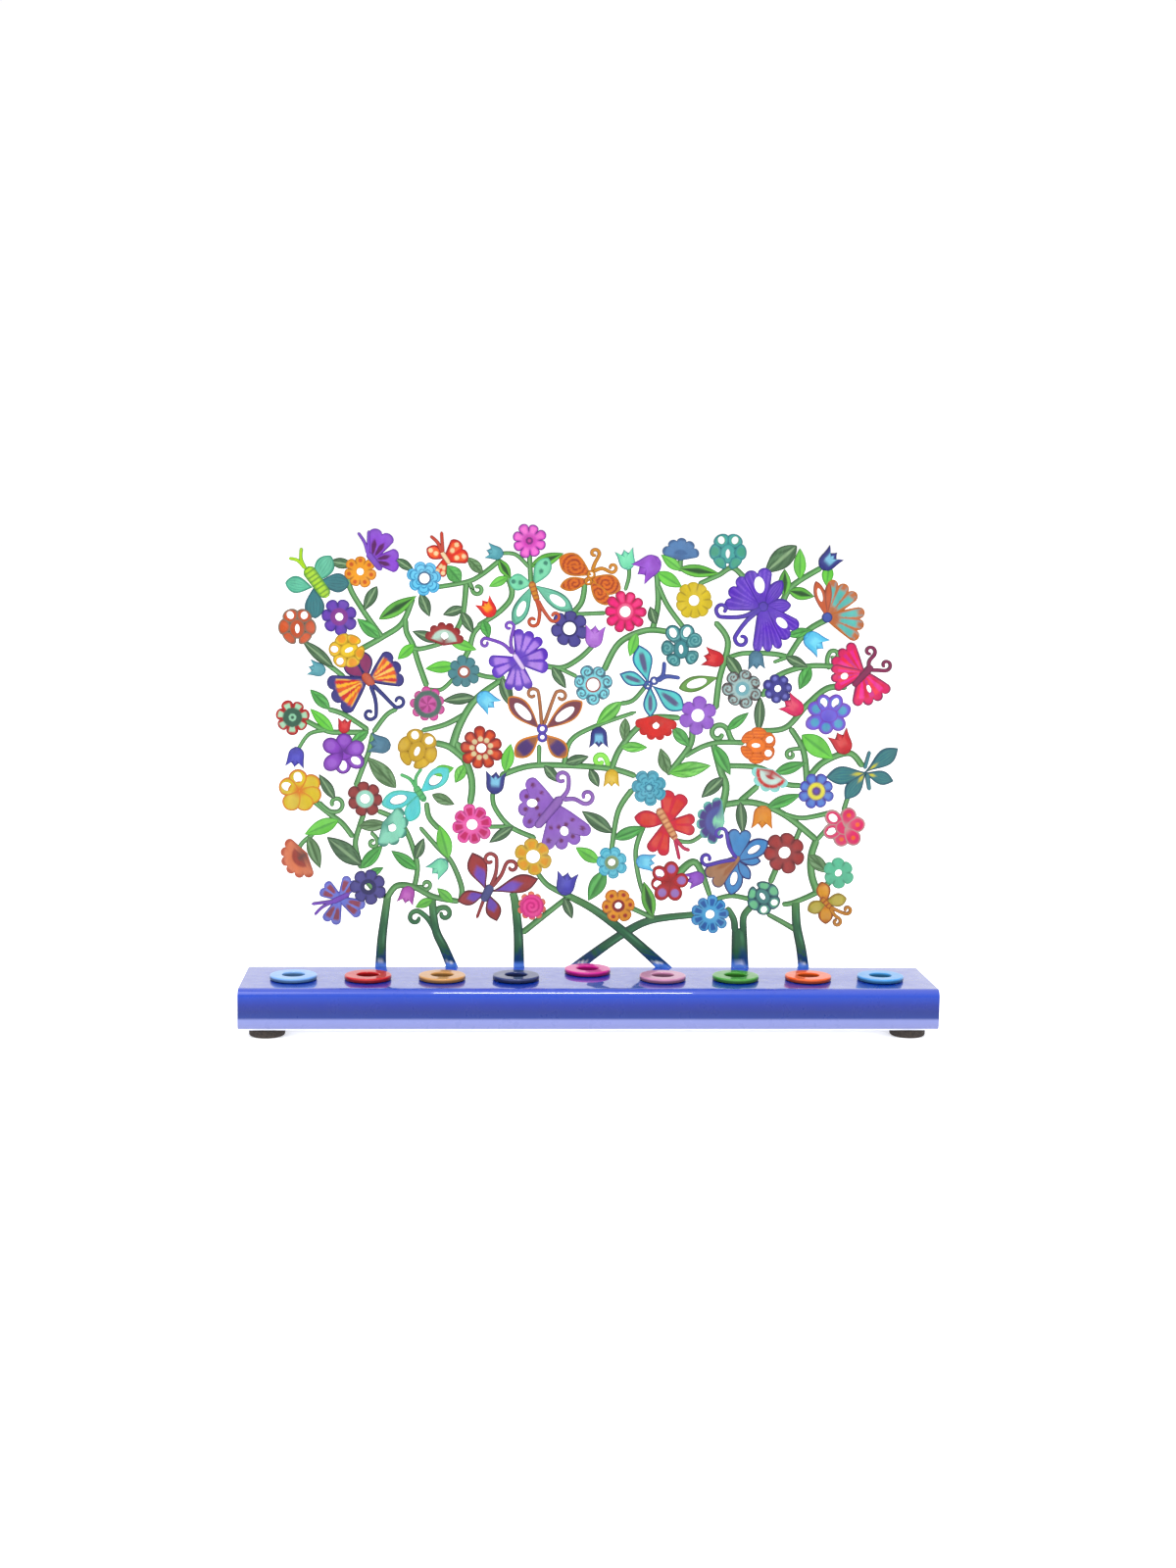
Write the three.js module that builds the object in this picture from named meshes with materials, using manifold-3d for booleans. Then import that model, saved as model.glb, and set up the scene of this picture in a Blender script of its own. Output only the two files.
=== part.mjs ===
// Nine-light candle holder: a bent steel base with nine turned cups and four rubber feet, and a tall
// laser-cut sheet of stems, leaves, flowers and butterflies standing along its back edge.
// Millimetres, +Z up, origin on the floor under the middle of the base, +Y towards the back.

import * as THREE from "three";
import { mergeVertices } from "three/addons/utils/BufferGeometryUtils.js";
import Module from "manifold-3d";

const wasm = await Module();
wasm.setup();

// ---------------------------------------------------------------- driving dimensions

const SHEET = 2;                    // thickness of the steel in the base and in the panel
const GAP = 0.3;                    // clearance between neighbouring pieces
const MERGE = 0.3;                  // steps in an outline smaller than this are smoothed away

const FOOT = { radius: 8, height: 4, edge: 1, fromEnd: 12, fromFront: 11 };
const BASE = { length: 312, depth: 52, height: 19, bend: 3.5, lip: 20 };
const PLATE_TOP = FOOT.height + BASE.height;

const CUP = { flange: 10.5, flangeHeight: 2, bore: 5.05, tube: 6, tubeLength: 12, floor: 1.5, edge: 0.5 };
const CUP_COUNT = 9;
const CUP_PITCH = 33.3;
const CUP_ROW_Y = -4.2;             // the row of eight cups
const LEADER_CUP_Y = 10.1;          // the middle cup stands behind the row
const CUP_HOLE = CUP.tube + GAP;
const ROUND_SIDES = 16;             // sides of every turned shape

const PANEL_FRONT = 22;             // the panel's front face, close to the back edge of the base
const TAB = { width: 5, below: 1.5 };
const STEM_FEET = [-95, -63, -31, -3, 36, 72, 102];

const CUP_COLOURS = [               // left to right
  0xb9d2f0, 0xc83232, 0xd7aa78, 0x6e78a0, 0xeb6eaf, 0xd7afc8, 0x78b45a, 0xeb6e32, 0x73b4e1,
];
const BASE_COLOUR = 0x3762d7;
const PANEL_COLOUR = 0x4f8a52;
const RUBBER_COLOUR = 0x201a18;

// ---------------------------------------------------------------- solids

/** A three.js geometry as a manifold solid. */
function toSolid(geometry) {
  geometry.deleteAttribute("normal");
  geometry.deleteAttribute("uv");
  const merged = mergeVertices(geometry, 1e-5);
  return new wasm.Manifold(new wasm.Mesh({
    numProp: 3,
    vertProperties: new Float32Array(merged.attributes.position.array),
    triVerts: new Uint32Array(merged.index.array),
  }));
}

/** A manifold solid as a three.js geometry. */
function toGeometry(solid) {
  const mesh = solid.getMesh();
  const geometry = new THREE.BufferGeometry();
  geometry.setAttribute("position", new THREE.BufferAttribute(new Float32Array(mesh.vertProperties), 3));
  geometry.setIndex(new THREE.BufferAttribute(new Uint32Array(mesh.triVerts), 1));
  return geometry;
}

function named(name, geometry, colour, roughness, metalness) {
  const flat = geometry.index ? geometry.toNonIndexed() : geometry;
  flat.computeVertexNormals();
  const mesh = new THREE.Mesh(flat, new THREE.MeshStandardMaterial({ color: colour, roughness, metalness }));
  mesh.name = name;
  return mesh;
}

const paintedMetal = (name, geometry, colour) => named(name, geometry, colour, 0.3, 0.1);

/** A solid turned around +Z from [radius, height] corners that start and end on the axis. */
function turned(corners) {
  const geometry = new THREE.LatheGeometry(corners.map(([r, z]) => new THREE.Vector2(r, z)), ROUND_SIDES);
  return geometry.rotateX(Math.PI / 2);
}

// ---------------------------------------------------------------- base, cups and feet

/** The base's section across its depth: a channel open below, with its lower edges turned inwards. */
function channelSection() {
  const halfDepth = BASE.depth / 2;
  const lipEnd = halfDepth - BASE.lip;
  const innerBend = BASE.bend - SHEET;
  const path = new THREE.Shape();
  path.moveTo(lipEnd, 0);
  path.lineTo(halfDepth - BASE.bend, 0);
  path.absarc(halfDepth - BASE.bend, BASE.bend, BASE.bend, -Math.PI / 2, 0);
  path.absarc(halfDepth - BASE.bend, BASE.height - BASE.bend, BASE.bend, 0, Math.PI / 2);
  path.absarc(BASE.bend - halfDepth, BASE.height - BASE.bend, BASE.bend, Math.PI / 2, Math.PI);
  path.absarc(BASE.bend - halfDepth, BASE.bend, BASE.bend, Math.PI, 1.5 * Math.PI);
  path.lineTo(-lipEnd, 0);
  path.lineTo(-lipEnd, SHEET);
  path.absarc(BASE.bend - halfDepth, BASE.bend, innerBend, 1.5 * Math.PI, Math.PI, true);
  path.absarc(BASE.bend - halfDepth, BASE.height - BASE.bend, innerBend, Math.PI, Math.PI / 2, true);
  path.absarc(halfDepth - BASE.bend, BASE.height - BASE.bend, innerBend, Math.PI / 2, 0, true);
  path.absarc(halfDepth - BASE.bend, BASE.bend, innerBend, 0, -Math.PI / 2, true);
  path.lineTo(lipEnd, SHEET);
  return path;
}

function cupPlaces() {
  const middle = (CUP_COUNT - 1) / 2;
  return Array.from({ length: CUP_COUNT }, (_, i) => [
    (i - middle) * CUP_PITCH,
    i === middle ? LEADER_CUP_Y : CUP_ROW_Y,
  ]);
}

/** The bent sheet with nine holes for the cups and a slot for every stem of the panel. */
function baseChannel() {
  const bendSteps = 3;
  const channel = new THREE.ExtrudeGeometry(channelSection(), {
    depth: BASE.length,
    bevelEnabled: false,
    curveSegments: bendSteps,
  });
  channel.rotateX(Math.PI / 2).rotateZ(Math.PI / 2).translate(-BASE.length / 2, 0, FOOT.height);
  let solid = toSolid(channel);
  const cutDepth = 3 * SHEET;
  for (const [x, y] of cupPlaces()) {
    const hole = new THREE.CylinderGeometry(CUP_HOLE, CUP_HOLE, cutDepth, ROUND_SIDES);
    hole.rotateX(Math.PI / 2).translate(x, y, PLATE_TOP - SHEET / 2);
    solid = solid.subtract(toSolid(hole));
  }
  for (const x of STEM_FEET) {
    const slot = new THREE.BoxGeometry(TAB.width + 2 * GAP, SHEET + 2 * GAP, cutDepth);
    slot.translate(x, PANEL_FRONT + SHEET / 2, PLATE_TOP - SHEET / 2);
    solid = solid.subtract(toSolid(slot));
  }
  return paintedMetal("base_channel", toGeometry(solid), BASE_COLOUR);
}

/** A turned cup: a flat ring on the plate, and a closed tube through the plate that holds a candle. */
function candleCup(index, [x, y]) {
  const rim = GAP + CUP.flangeHeight;
  const tubeEnd = GAP - CUP.tubeLength;
  const cup = turned([
    [0, tubeEnd],
    [CUP.tube, tubeEnd],
    [CUP.tube, GAP],
    [CUP.flange, GAP],
    [CUP.flange, rim - CUP.edge],
    [CUP.flange - CUP.edge, rim],
    [CUP.bore, rim],
    [CUP.bore, tubeEnd + CUP.floor],
    [0, tubeEnd + CUP.floor],
  ]);
  cup.translate(x, y, PLATE_TOP);
  return paintedMetal(`candle_cup_${index + 1}`, cup, CUP_COLOURS[index]);
}

/** A rubber foot, rounded where it meets the floor. */
function rubberFoot(name, x, y) {
  const foot = turned([
    [0, 0],
    [FOOT.radius - FOOT.edge, 0],
    [FOOT.radius, FOOT.edge],
    [FOOT.radius, FOOT.height - GAP],
    [0, FOOT.height - GAP],
  ]);
  foot.translate(x, y, 0);
  return named(name, foot, RUBBER_COLOUR, 0.85, 0);
}

function rubberFeet() {
  const x = BASE.length / 2 - FOOT.fromEnd;
  const y = BASE.depth / 2 - FOOT.fromFront;
  return [
    rubberFoot("foot_front_left", -x, -y),
    rubberFoot("foot_front_right", x, -y),
    rubberFoot("foot_rear_left", -x, y),
    rubberFoot("foot_rear_right", x, y),
  ];
}

// ---------------------------------------------------------------- motifs of the panel
// Every motif is an outline in the panel's own plane: x across, and h up from the top of the base.
// Each call below adds sheet metal, and hole() takes it away again from everything at that place.

const sheetParts = [];
const sheetHoles = [];

/** An outline of [x, h] points as sheet metal standing in the panel's plane. */
function sheet(points, thickness = SHEET) {
  const shape = new THREE.Shape(points.map(([x, h]) => new THREE.Vector2(x, h)));
  const geometry = new THREE.ExtrudeGeometry(shape, { depth: thickness, bevelEnabled: false });
  geometry.rotateX(Math.PI / 2).translate(0, PANEL_FRONT + (SHEET + thickness) / 2, PLATE_TOP);
  return toSolid(geometry);
}

/** A ribbon that tapers from one width to another along a smooth line through the points. */
function vine(startWidth, endWidth, points) {
  const line = new THREE.SplineCurve(points.map(([x, h]) => new THREE.Vector2(x, h)));
  const steps = points.length - 1;
  const left = [];
  const right = [];
  for (let i = 0; i <= steps; i++) {
    const t = i / steps;
    const half = THREE.MathUtils.lerp(startWidth, endWidth, t) / 2;
    const middle = line.getPoint(t);
    const along = line.getTangent(t);
    left.unshift([middle.x - along.y * half, middle.y + along.x * half]);
    right.push([middle.x + along.y * half, middle.y - along.x * half]);
  }
  sheetParts.push(sheet([...right, ...left]));
}

/** Points of a pointed blade from its root to its tip, widest after "fullness" of its length. */
function bladeOutline(x, h, tipX, tipH, width, fullness, sideSteps) {
  const length = Math.hypot(tipX - x, tipH - h);
  const along = [(tipX - x) / length, (tipH - h) / length];
  const power = Math.log(0.5) / Math.log(fullness);
  const place = (t, side) => {
    const across = side * (width / 2) * Math.sin(Math.PI * t ** power);
    return [x + along[0] * length * t - along[1] * across, h + along[1] * length * t + along[0] * across];
  };
  const steps = Array.from({ length: sideSteps }, (_, i) => (i + 1) / (sideSteps + 1));
  return [
    [x, h],
    ...steps.map((t) => place(t, -1)),
    [tipX, tipH],
    ...steps.reverse().map((t) => place(t, 1)),
  ];
}

const leaf = (x, h, tipX, tipH, width) =>
  sheetParts.push(sheet(bladeOutline(x, h, tipX, tipH, width, 0.45, 2)));

const wing = (x, h, tipX, tipH, width) =>
  sheetParts.push(sheet(bladeOutline(x, h, tipX, tipH, width, 0.62, 2)));

/** Points evenly around a centre, with each one's radius given by a function of its number. */
function ring(x, h, count, radiusAt, turn = 0) {
  return Array.from({ length: count }, (_, i) => {
    const angle = 2 * Math.PI * (i / count) + turn;
    const radius = radiusAt(i);
    return [x + radius * Math.cos(angle), h + radius * Math.sin(angle)];
  });
}

const degrees = THREE.MathUtils.degToRad;

const disc = (x, h, radius) => sheetParts.push(sheet(ring(x, h, 6, () => radius)));

/** An oval hole, its long half first, turned by an angle in degrees. */
function hole(x, h, longHalf, shortHalf = longHalf, angle = 0) {
  const turn = degrees(angle);
  const sides = 6;
  const points = ring(0, 0, sides, () => 1).map(([u, v]) => [
    x + longHalf * u * Math.cos(turn) - shortHalf * v * Math.sin(turn),
    h + longHalf * u * Math.sin(turn) + shortHalf * v * Math.cos(turn),
  ]);
  sheetHoles.push(sheet(points, 2 * SHEET));
}

/** A round flower seen from the front: the outline alternates between petal ends and notches. */
function flower(x, h, radius, petals, holeRadius) {
  const notch = 0.84;
  sheetParts.push(sheet(ring(x, h, 2 * petals, (i) => radius * (i % 2 ? 1 : notch))));
  if (holeRadius > 0) {
    hole(x, h, holeRadius);
  }
}

/** An orchid: five broad petals, the two nearest the angle cut out as loops, and a slot between them. */
function orchid(x, h, radius, angle) {
  const petals = 5;
  const notch = 0.7;
  const pointsPerPetal = 3;
  const loopAngles = [angle - 180 / petals, angle + 180 / petals];
  const loopAt = 0.62;
  sheetParts.push(sheet(ring(
    x, h, petals * pointsPerPetal, (i) => radius * (i % pointsPerPetal ? 1 : notch), degrees(angle),
  )));
  for (const loopAngle of loopAngles) {
    const turn = degrees(loopAngle);
    hole(x + radius * loopAt * Math.cos(turn), h + radius * loopAt * Math.sin(turn), radius * 0.18);
  }
  hole(x, h, radius * 0.22, radius * 0.12, angle);
}

/** Half a flower seen from the side: scallops spread towards the angle from a narrow foot. */
function sideFlower(x, h, radius, petals, angle) {
  const spread = 170;
  const scallops = [];
  for (let i = 0; i <= 2 * petals; i++) {
    const turn = degrees(angle - spread / 2 + (spread * i) / (2 * petals));
    const reach = radius * (i % 2 ? 1 : 0.82);
    scallops.push([x + reach * Math.cos(turn), h + reach * Math.sin(turn)]);
  }
  const back = degrees(angle + 180);
  const foot = radius * 0.18;
  sheetParts.push(sheet([...scallops, [x + foot * Math.cos(back), h + foot * Math.sin(back)]]));
}

/** A tulip from its foot, opening towards the angle into three points. */
function tulip(x, h, size, angle) {
  const halfOutline = [[0, 0.12], [0.25, 0.4], [1, 0.46], [0.76, 0.2]];
  const turn = degrees(angle);
  const outline = [
    ...halfOutline.map(([u, v]) => [u, -v]),
    [1, 0],
    ...halfOutline.toReversed(),
  ];
  sheetParts.push(sheet(outline.map(([u, v]) => [
    x + size * (u * Math.cos(turn) - v * Math.sin(turn)),
    h + size * (u * Math.sin(turn) + v * Math.cos(turn)),
  ])));
}

// ---------------------------------------------------------------- the composition

function stems() {
  vine(5.2, 3.4, [[-95.2, -2], [-94.6, 14], [-92, 34]]);
  vine(5, 3.4, [[-62.2, -2], [-66, 9], [-70, 18], [-71.8, 33.4]]);
  vine(5, 3.4, [[-31.2, -2], [-31.6, 15], [-33.2, 30], [-34.4, 35]]);
  vine(5, 3, [[-10, -1.5], [0, 5.2], [17, 15.5], [30, 22.3], [50, 25]]);
  vine(5.4, 3.2, [[40, -2], [30, 7], [16, 18], [3, 27.5], [-8, 33.4]]);
  vine(8.2, 7, [[72.3, -2], [71.6, 18.5]]);
  vine(3.4, 3, [[69.6, 17], [68.8, 23], [65.5, 28.5]]);
  vine(3.4, 3, [[73.6, 17], [73.6, 24.5], [78, 30]]);
  vine(5, 3.8, [[102.4, -2], [101, 9], [98.6, 20], [97.8, 31]]);
}

function vines() {
  // up the left side
  vine(3, 2.6, [[-93, 33], [-98, 36], [-103, 42]]);
  vine(3, 2.6, [[-92.6, 32], [-88, 38], [-80, 37.5], [-71, 33], [-59, 30.8]]);
  vine(2.6, 2.4, [[-80, 37], [-78.5, 47], [-81, 57], [-84, 64], [-88, 69], [-97, 73]]);
  vine(2.6, 2.6, [[-104, 46], [-105.5, 50], [-107, 58], [-105, 66], [-103, 72]]);
  vine(2.4, 2.6, [[-127, 78], [-119, 71.5], [-113, 67], [-108, 60.5]]);
  vine(2.2, 2, [[-126, 62], [-131, 58], [-134, 53]]);
  vine(2.6, 2.4, [[-107, 84], [-104, 92], [-101, 100], [-99, 109]]);
  vine(2.4, 2.6, [[-131, 115], [-120, 109.5], [-112, 109], [-101, 109]]);
  vine(2, 1.8, [[-120, 110], [-128, 108], [-133, 101]]);
  vine(2.4, 2.4, [[-119.5, 119.5], [-112, 117], [-101, 110]]);
  vine(2.4, 2.2, [[-99, 109], [-93, 117], [-88, 120]]);
  vine(2.4, 2.4, [[-124, 143], [-117, 138], [-112, 134]]);
  vine(2.8, 2.6, [[-105.5, 146.5], [-95, 152.5], [-86, 159], [-81, 171]]);
  vine(2.6, 2.6, [[-95, 152.5], [-104, 165], [-110, 176], [-109, 185]]);
  vine(2.6, 2.8, [[-84.5, 161], [-84, 155], [-81, 149], [-78.5, 141], [-74.5, 130]]);
  vine(2.4, 2, [[-82, 148], [-78, 147.4], [-72, 148.8], [-65, 151]]);
  // between the left side and the middle
  vine(2.8, 2, [[-58.5, 30.8], [-58.2, 38], [-63, 49.5], [-69, 55.8], [-77.5, 65.5]]);
  vine(2.6, 2.6, [[-74.5, 77], [-73.2, 70], [-68.5, 64.5]]);
  vine(3.6, 3.2, [[-61, 105], [-55, 92], [-53.6, 84], [-54.6, 76]]);
  vine(3, 3.2, [[-71, 104.5], [-64, 102.5], [-56, 96]]);
  vine(2.2, 2.8, [[-77, 110], [-66, 113], [-55, 119]]);
  vine(4, 2.6, [[-63, 102], [-59.5, 113], [-52, 125], [-39.5, 134.5]]);
  vine(2, 2, [[-74, 129], [-68, 129], [-62.5, 134]]);
  vine(2.2, 2.4, [[-53, 136.6], [-47, 135], [-39, 134.6]]);
  vine(2.8, 2.2, [[-58.5, 142], [-55.5, 147.5], [-53, 155.5], [-46, 162]]);
  vine(2.4, 3, [[-52, 158], [-41, 165.5], [-36.2, 174], [-42, 188.5]]);
  vine(2.4, 2.8, [[-62, 155], [-58.5, 163], [-57, 178]]);
  vine(2.2, 2.4, [[-71, 175.4], [-57, 178], [-50, 181.5], [-42, 188]]);
  vine(1.8, 2, [[-43, 191], [-35, 190.8], [-28.5, 185]]);
  vine(2.4, 2.4, [[-28.5, 191], [-27.6, 177]]);
  vine(2.4, 2.4, [[-44.2, 82], [-43.2, 75], [-36, 66], [-24, 60.6]]);
  vine(2, 2, [[-46, 65.8], [-36, 66]]);
  vine(2.4, 3, [[-23.5, 45], [-18, 38.5], [-7, 33]]);
  vine(3, 2.4, [[-30, 16], [-22, 22.5], [-9, 33]]);
  // across the middle
  vine(2.8, 2.8, [[-41, 89.5], [-28, 94], [-12, 94.6], [10, 93.2], [22, 89.8]]);
  vine(2.2, 2, [[-23, 104], [-23, 95]]);
  vine(2.6, 1.8, [[-11.5, 95], [-8.5, 106], [2, 112.5], [21.5, 119.6]]);
  vine(3, 2.6, [[10.4, 93], [14, 102], [21, 111], [29, 117], [42, 117]]);
  vine(2.2, 2, [[14, 123.3], [20, 125], [26, 132]]);
  vine(2.8, 2.4, [[20.5, 84], [13.8, 73], [11, 54]]);
  vine(2.4, 2.2, [[26, 67], [22.4, 55], [24.6, 40], [29.5, 28], [31, 23]]);
  vine(2.4, 2.4, [[20, 28.5], [31, 23.4]]);
  vine(2.6, 2.4, [[-22, 140.5], [-13, 139.6], [-5, 144], [1.2, 150]]);
  vine(2, 2, [[-14, 139.2], [-6, 135.5]]);
  vine(2.6, 2.8, [[-3, 178], [-4.5, 169.5], [-10, 163]]);
  vine(2, 2, [[-8, 164], [7, 164.8]]);
  vine(2.8, 3, [[36, 156.5], [25, 157], [13, 151], [6, 138]]);
  vine(2, 1.8, [[17, 186.5], [17, 181], [15.4, 175]]);
  vine(2.6, 2.8, [[29.6, 185], [30.6, 169], [28, 156.5]]);
  vine(2.4, 2.4, [[30.4, 178], [35, 168.5], [43, 158]]);
  vine(2.4, 2.4, [[40.6, 193], [40.4, 184]]);
  vine(2.2, 2.8, [[49, 178.5], [58, 182.6], [65, 186], [73, 178]]);
  vine(2.8, 3, [[57, 161.5], [63.2, 152], [59.6, 135], [58.2, 121]]);
  vine(3, 2.8, [[47.5, 112], [46.5, 104], [36.5, 90.5]]);
  vine(2.2, 2.6, [[44, 99], [52, 103.6], [60, 105.8], [72, 105.8]]);
  vine(3.2, 3.8, [[57.5, 105], [61, 93], [63.8, 84], [60, 67.5]]);
  vine(2, 2, [[40, 60.3], [48, 59.4], [55.5, 64.5]]);
  vine(4, 2.4, [[42, 44], [50.5, 49.6], [57.8, 33]]);
  vine(2.2, 2.4, [[60.5, 32.5], [68, 34], [78, 32]]);
  // up the right side
  vine(2.4, 2.8, [[91.5, 30], [97, 31], [108, 36], [115, 42]]);
  vine(2.8, 2.2, [[99, 17.5], [92, 21.5], [84.5, 25.5]]);
  vine(2.8, 2.8, [[85.5, 40], [88.5, 47.5]]);
  vine(3.6, 3.4, [[108, 35.5], [105, 44], [104.6, 53], [107, 61]]);
  vine(3, 3.2, [[62, 76.6], [76, 78], [91, 72.6], [107, 60.4]]);
  vine(2.2, 2.4, [[91, 72.8], [100, 70.8], [113, 73.4]]);
  vine(2.2, 2, [[107, 60.4], [112, 66.5]]);
  vine(2.4, 2.4, [[99.4, 66.6], [96.8, 60]]);
  vine(3, 2.8, [[70, 78], [79, 86]]);
  vine(2.6, 2.6, [[64, 95], [80, 94], [91, 87], [99, 86]]);
  vine(2.8, 3, [[93, 113], [99.6, 102], [101.6, 87]]);
  vine(3, 3, [[102.5, 90], [109, 97], [121, 101.4], [127.6, 95]]);
  vine(2.2, 2.2, [[121.5, 82.5], [119, 74]]);
  vine(2.6, 3, [[79, 111.4], [91, 113], [101, 124], [110, 131.4], [119, 132]]);
  vine(2.6, 2.6, [[79.5, 127], [86, 136.4], [100, 141.4], [115, 141.4]]);
  vine(2.2, 2.6, [[61.5, 144], [70, 147], [84, 147], [92, 145.4]]);
  vine(2, 1.6, [[91, 145.6], [84.4, 143]]);
  vine(2.6, 3, [[91, 145], [99, 157], [109.5, 163.5]]);
  vine(3, 2.6, [[87.5, 169], [92, 178], [106, 187]]);
}

function tendrils() {
  vine(2.6, 2, [[-70.2, 18], [-77.5, 26.4], [-82.4, 24], [-79.8, 20.2], [-77.6, 23]]);
  vine(2.6, 2, [[-71.4, 27], [-66, 29.6], [-63.2, 25.2], [-66.6, 22.8]]);
  vine(2, 1.8, [[-80, 37.6], [-75, 40], [-72.4, 37.2]]);
  vine(2.2, 2, [[-125, 77], [-119, 73.6], [-113, 74.4], [-112.6, 79.4], [-116.8, 78.6]]);
  vine(2.2, 2, [[-55.6, 178], [-53.6, 173.6], [-49.8, 174], [-51.4, 176.6]]);
  vine(2.6, 2.4, [[9.6, 93], [8, 98], [4.6, 99.2], [3, 96.4]]);
  vine(2.6, 2.2, [[67.4, 106], [65, 113], [57, 114], [56, 107.6]]);
  vine(2.2, 2, [[110.6, 141], [110, 146.4], [114, 148.6]]);
}

function leaves() {
  leaf(-118.5, 186.4, -107.5, 184.8, 5);
  leaf(-89, 188, -80.5, 182.5, 4.4);
  leaf(-104.5, 164, -97.5, 176, 5);
  leaf(-95.4, 152.4, -106.5, 161.4, 6);
  leaf(-96.5, 160.6, -79.5, 171.4, 6.4);
  leaf(-80.5, 149.5, -88, 142.5, 5);
  leaf(-77.8, 172.6, -73.5, 162, 5.4);
  leaf(-117, 138.6, -131.4, 151, 5.4);
  leaf(-118.6, 119.4, -127.6, 128.4, 5.4);
  leaf(-117, 109.4, -127.6, 119.6, 5);
  leaf(-101, 109.8, -109.6, 103.4, 4.6);
  leaf(-87.8, 83.5, -102, 98, 7);
  leaf(-116.4, 78.2, -123.6, 89.6, 5);
  leaf(-114, 68, -130.6, 63, 6.6);
  leaf(-128.4, 61, -123, 46, 6);
  leaf(-104.8, 46.8, -120.4, 61, 8);
  leaf(-104.6, 46, -94.4, 57, 6);
  leaf(-105.6, 65.8, -91.6, 66.6, 5.6);
  leaf(-78.4, 45.6, -90.6, 54.4, 5.6);
  leaf(-102.4, 42.2, -94, 46.6, 4);
  leaf(-79.4, 50.6, -75.6, 60.4, 5);
  leaf(-64.2, 51, -68.6, 66.6, 7);
  leaf(-62, 30.4, -69.4, 37, 4.6);
  leaf(-71.4, 31.8, -79.4, 28, 4.4);
  leaf(-59.6, 178, -63, 187.6, 6);
  leaf(-49.6, 182, -57, 189.4, 5);
  leaf(-58, 166.4, -67.6, 163, 4.8);
  leaf(-59, 164.6, -53.6, 154.6, 5);
  leaf(-46.2, 162.4, -48.8, 152.6, 5);
  leaf(-38, 180.6, -46.8, 176, 4.4);
  leaf(-42.4, 188.4, -36.8, 179.6, 5);
  leaf(-28, 185.4, -13, 191.6, 6);
  leaf(-64.6, 151.4, -52, 147.2, 5.2);
  leaf(-61.5, 140, -75.4, 138.4, 5.6);
  leaf(-52.6, 125.6, -67.4, 123.8, 5.4);
  leaf(-40.6, 135, -36, 121, 6);
  leaf(-38.6, 91.4, -36, 104.4, 6);
  leaf(-72, 90.5, -62, 93, 5.4);
  leaf(-57, 94.6, -61.4, 86, 5.4);
  leaf(-72, 80.6, -61.6, 76, 5);
  leaf(-34.6, 66, -45.6, 58.4, 5);
  leaf(-20.6, 94.6, -13.6, 86.6, 5);
  leaf(-11, 95.6, 0, 98.8, 5);
  leaf(0.4, 93, 4.8, 84.6, 4.8);
  leaf(-10.6, 33, -6.6, 22.8, 4.8);
  leaf(11.5, 63.4, -3, 73.4, 6.8);
  leaf(12, 60.6, 26.6, 66.2, 6);
  leaf(5.6, 49.6, -5.6, 56.4, 6);
  leaf(8.4, 45.6, 0.6, 31.4, 7.6);
  leaf(30.8, 24, 26.4, 40.6, 6.6);
  leaf(14.6, 124.2, 3, 113.4, 6.4);
  leaf(16.6, 116.6, 16, 105.6, 5);
  leaf(14.4, 103.4, 27, 103.2, 5);
  leaf(-17.6, 140, -11, 130, 5);
  leaf(38.6, 112.6, 46.6, 103.6, 6);
  leaf(37, 91.4, 56.6, 95, 7.4);
  leaf(36.6, 91, 33, 103, 6);
  leaf(57.8, 104.6, 65.8, 90.6, 6.4);
  leaf(62.6, 89.6, 52.4, 80, 6);
  leaf(63.6, 111.6, 73.6, 119.8, 4.4);
  leaf(59.4, 136, 41, 130.6, 6.6);
  leaf(21, 156, 18, 145, 5);
  leaf(29.6, 160, 27, 168, 5);
  leaf(41, 184.6, 31.6, 191.6, 5);
  leaf(29.8, 183.6, 41.4, 177, 6.4);
  leaf(39.6, 185.4, 58.6, 183.4, 6);
  leaf(62.6, 146, 70.6, 135, 6);
  leaf(90, 145.8, 100.6, 141, 5);
  leaf(101.6, 141.6, 96.8, 130.6, 6);
  leaf(90.6, 155.4, 102, 158.4, 4.6);
  leaf(93.4, 197, 77.6, 182.6, 9.4);
  leaf(95.6, 181.4, 95.4, 195.4, 5.8);
  leaf(89.4, 173.6, 88.6, 186.6, 6);
  leaf(90.4, 176, 102.6, 173.6, 5.8);
  leaf(109, 188, 108, 178.4, 5.4);
  leaf(78.8, 127, 78.4, 110, 5.2);
  leaf(98.6, 109.6, 113.6, 98.6, 9.4);
  leaf(86.4, 91.8, 101, 96.8, 5.6);
  leaf(83, 75.6, 99, 82, 5.6);
  leaf(70.6, 78.4, 72.2, 63, 5.4);
  leaf(103, 53.6, 113, 45, 6.4);
}

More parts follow.
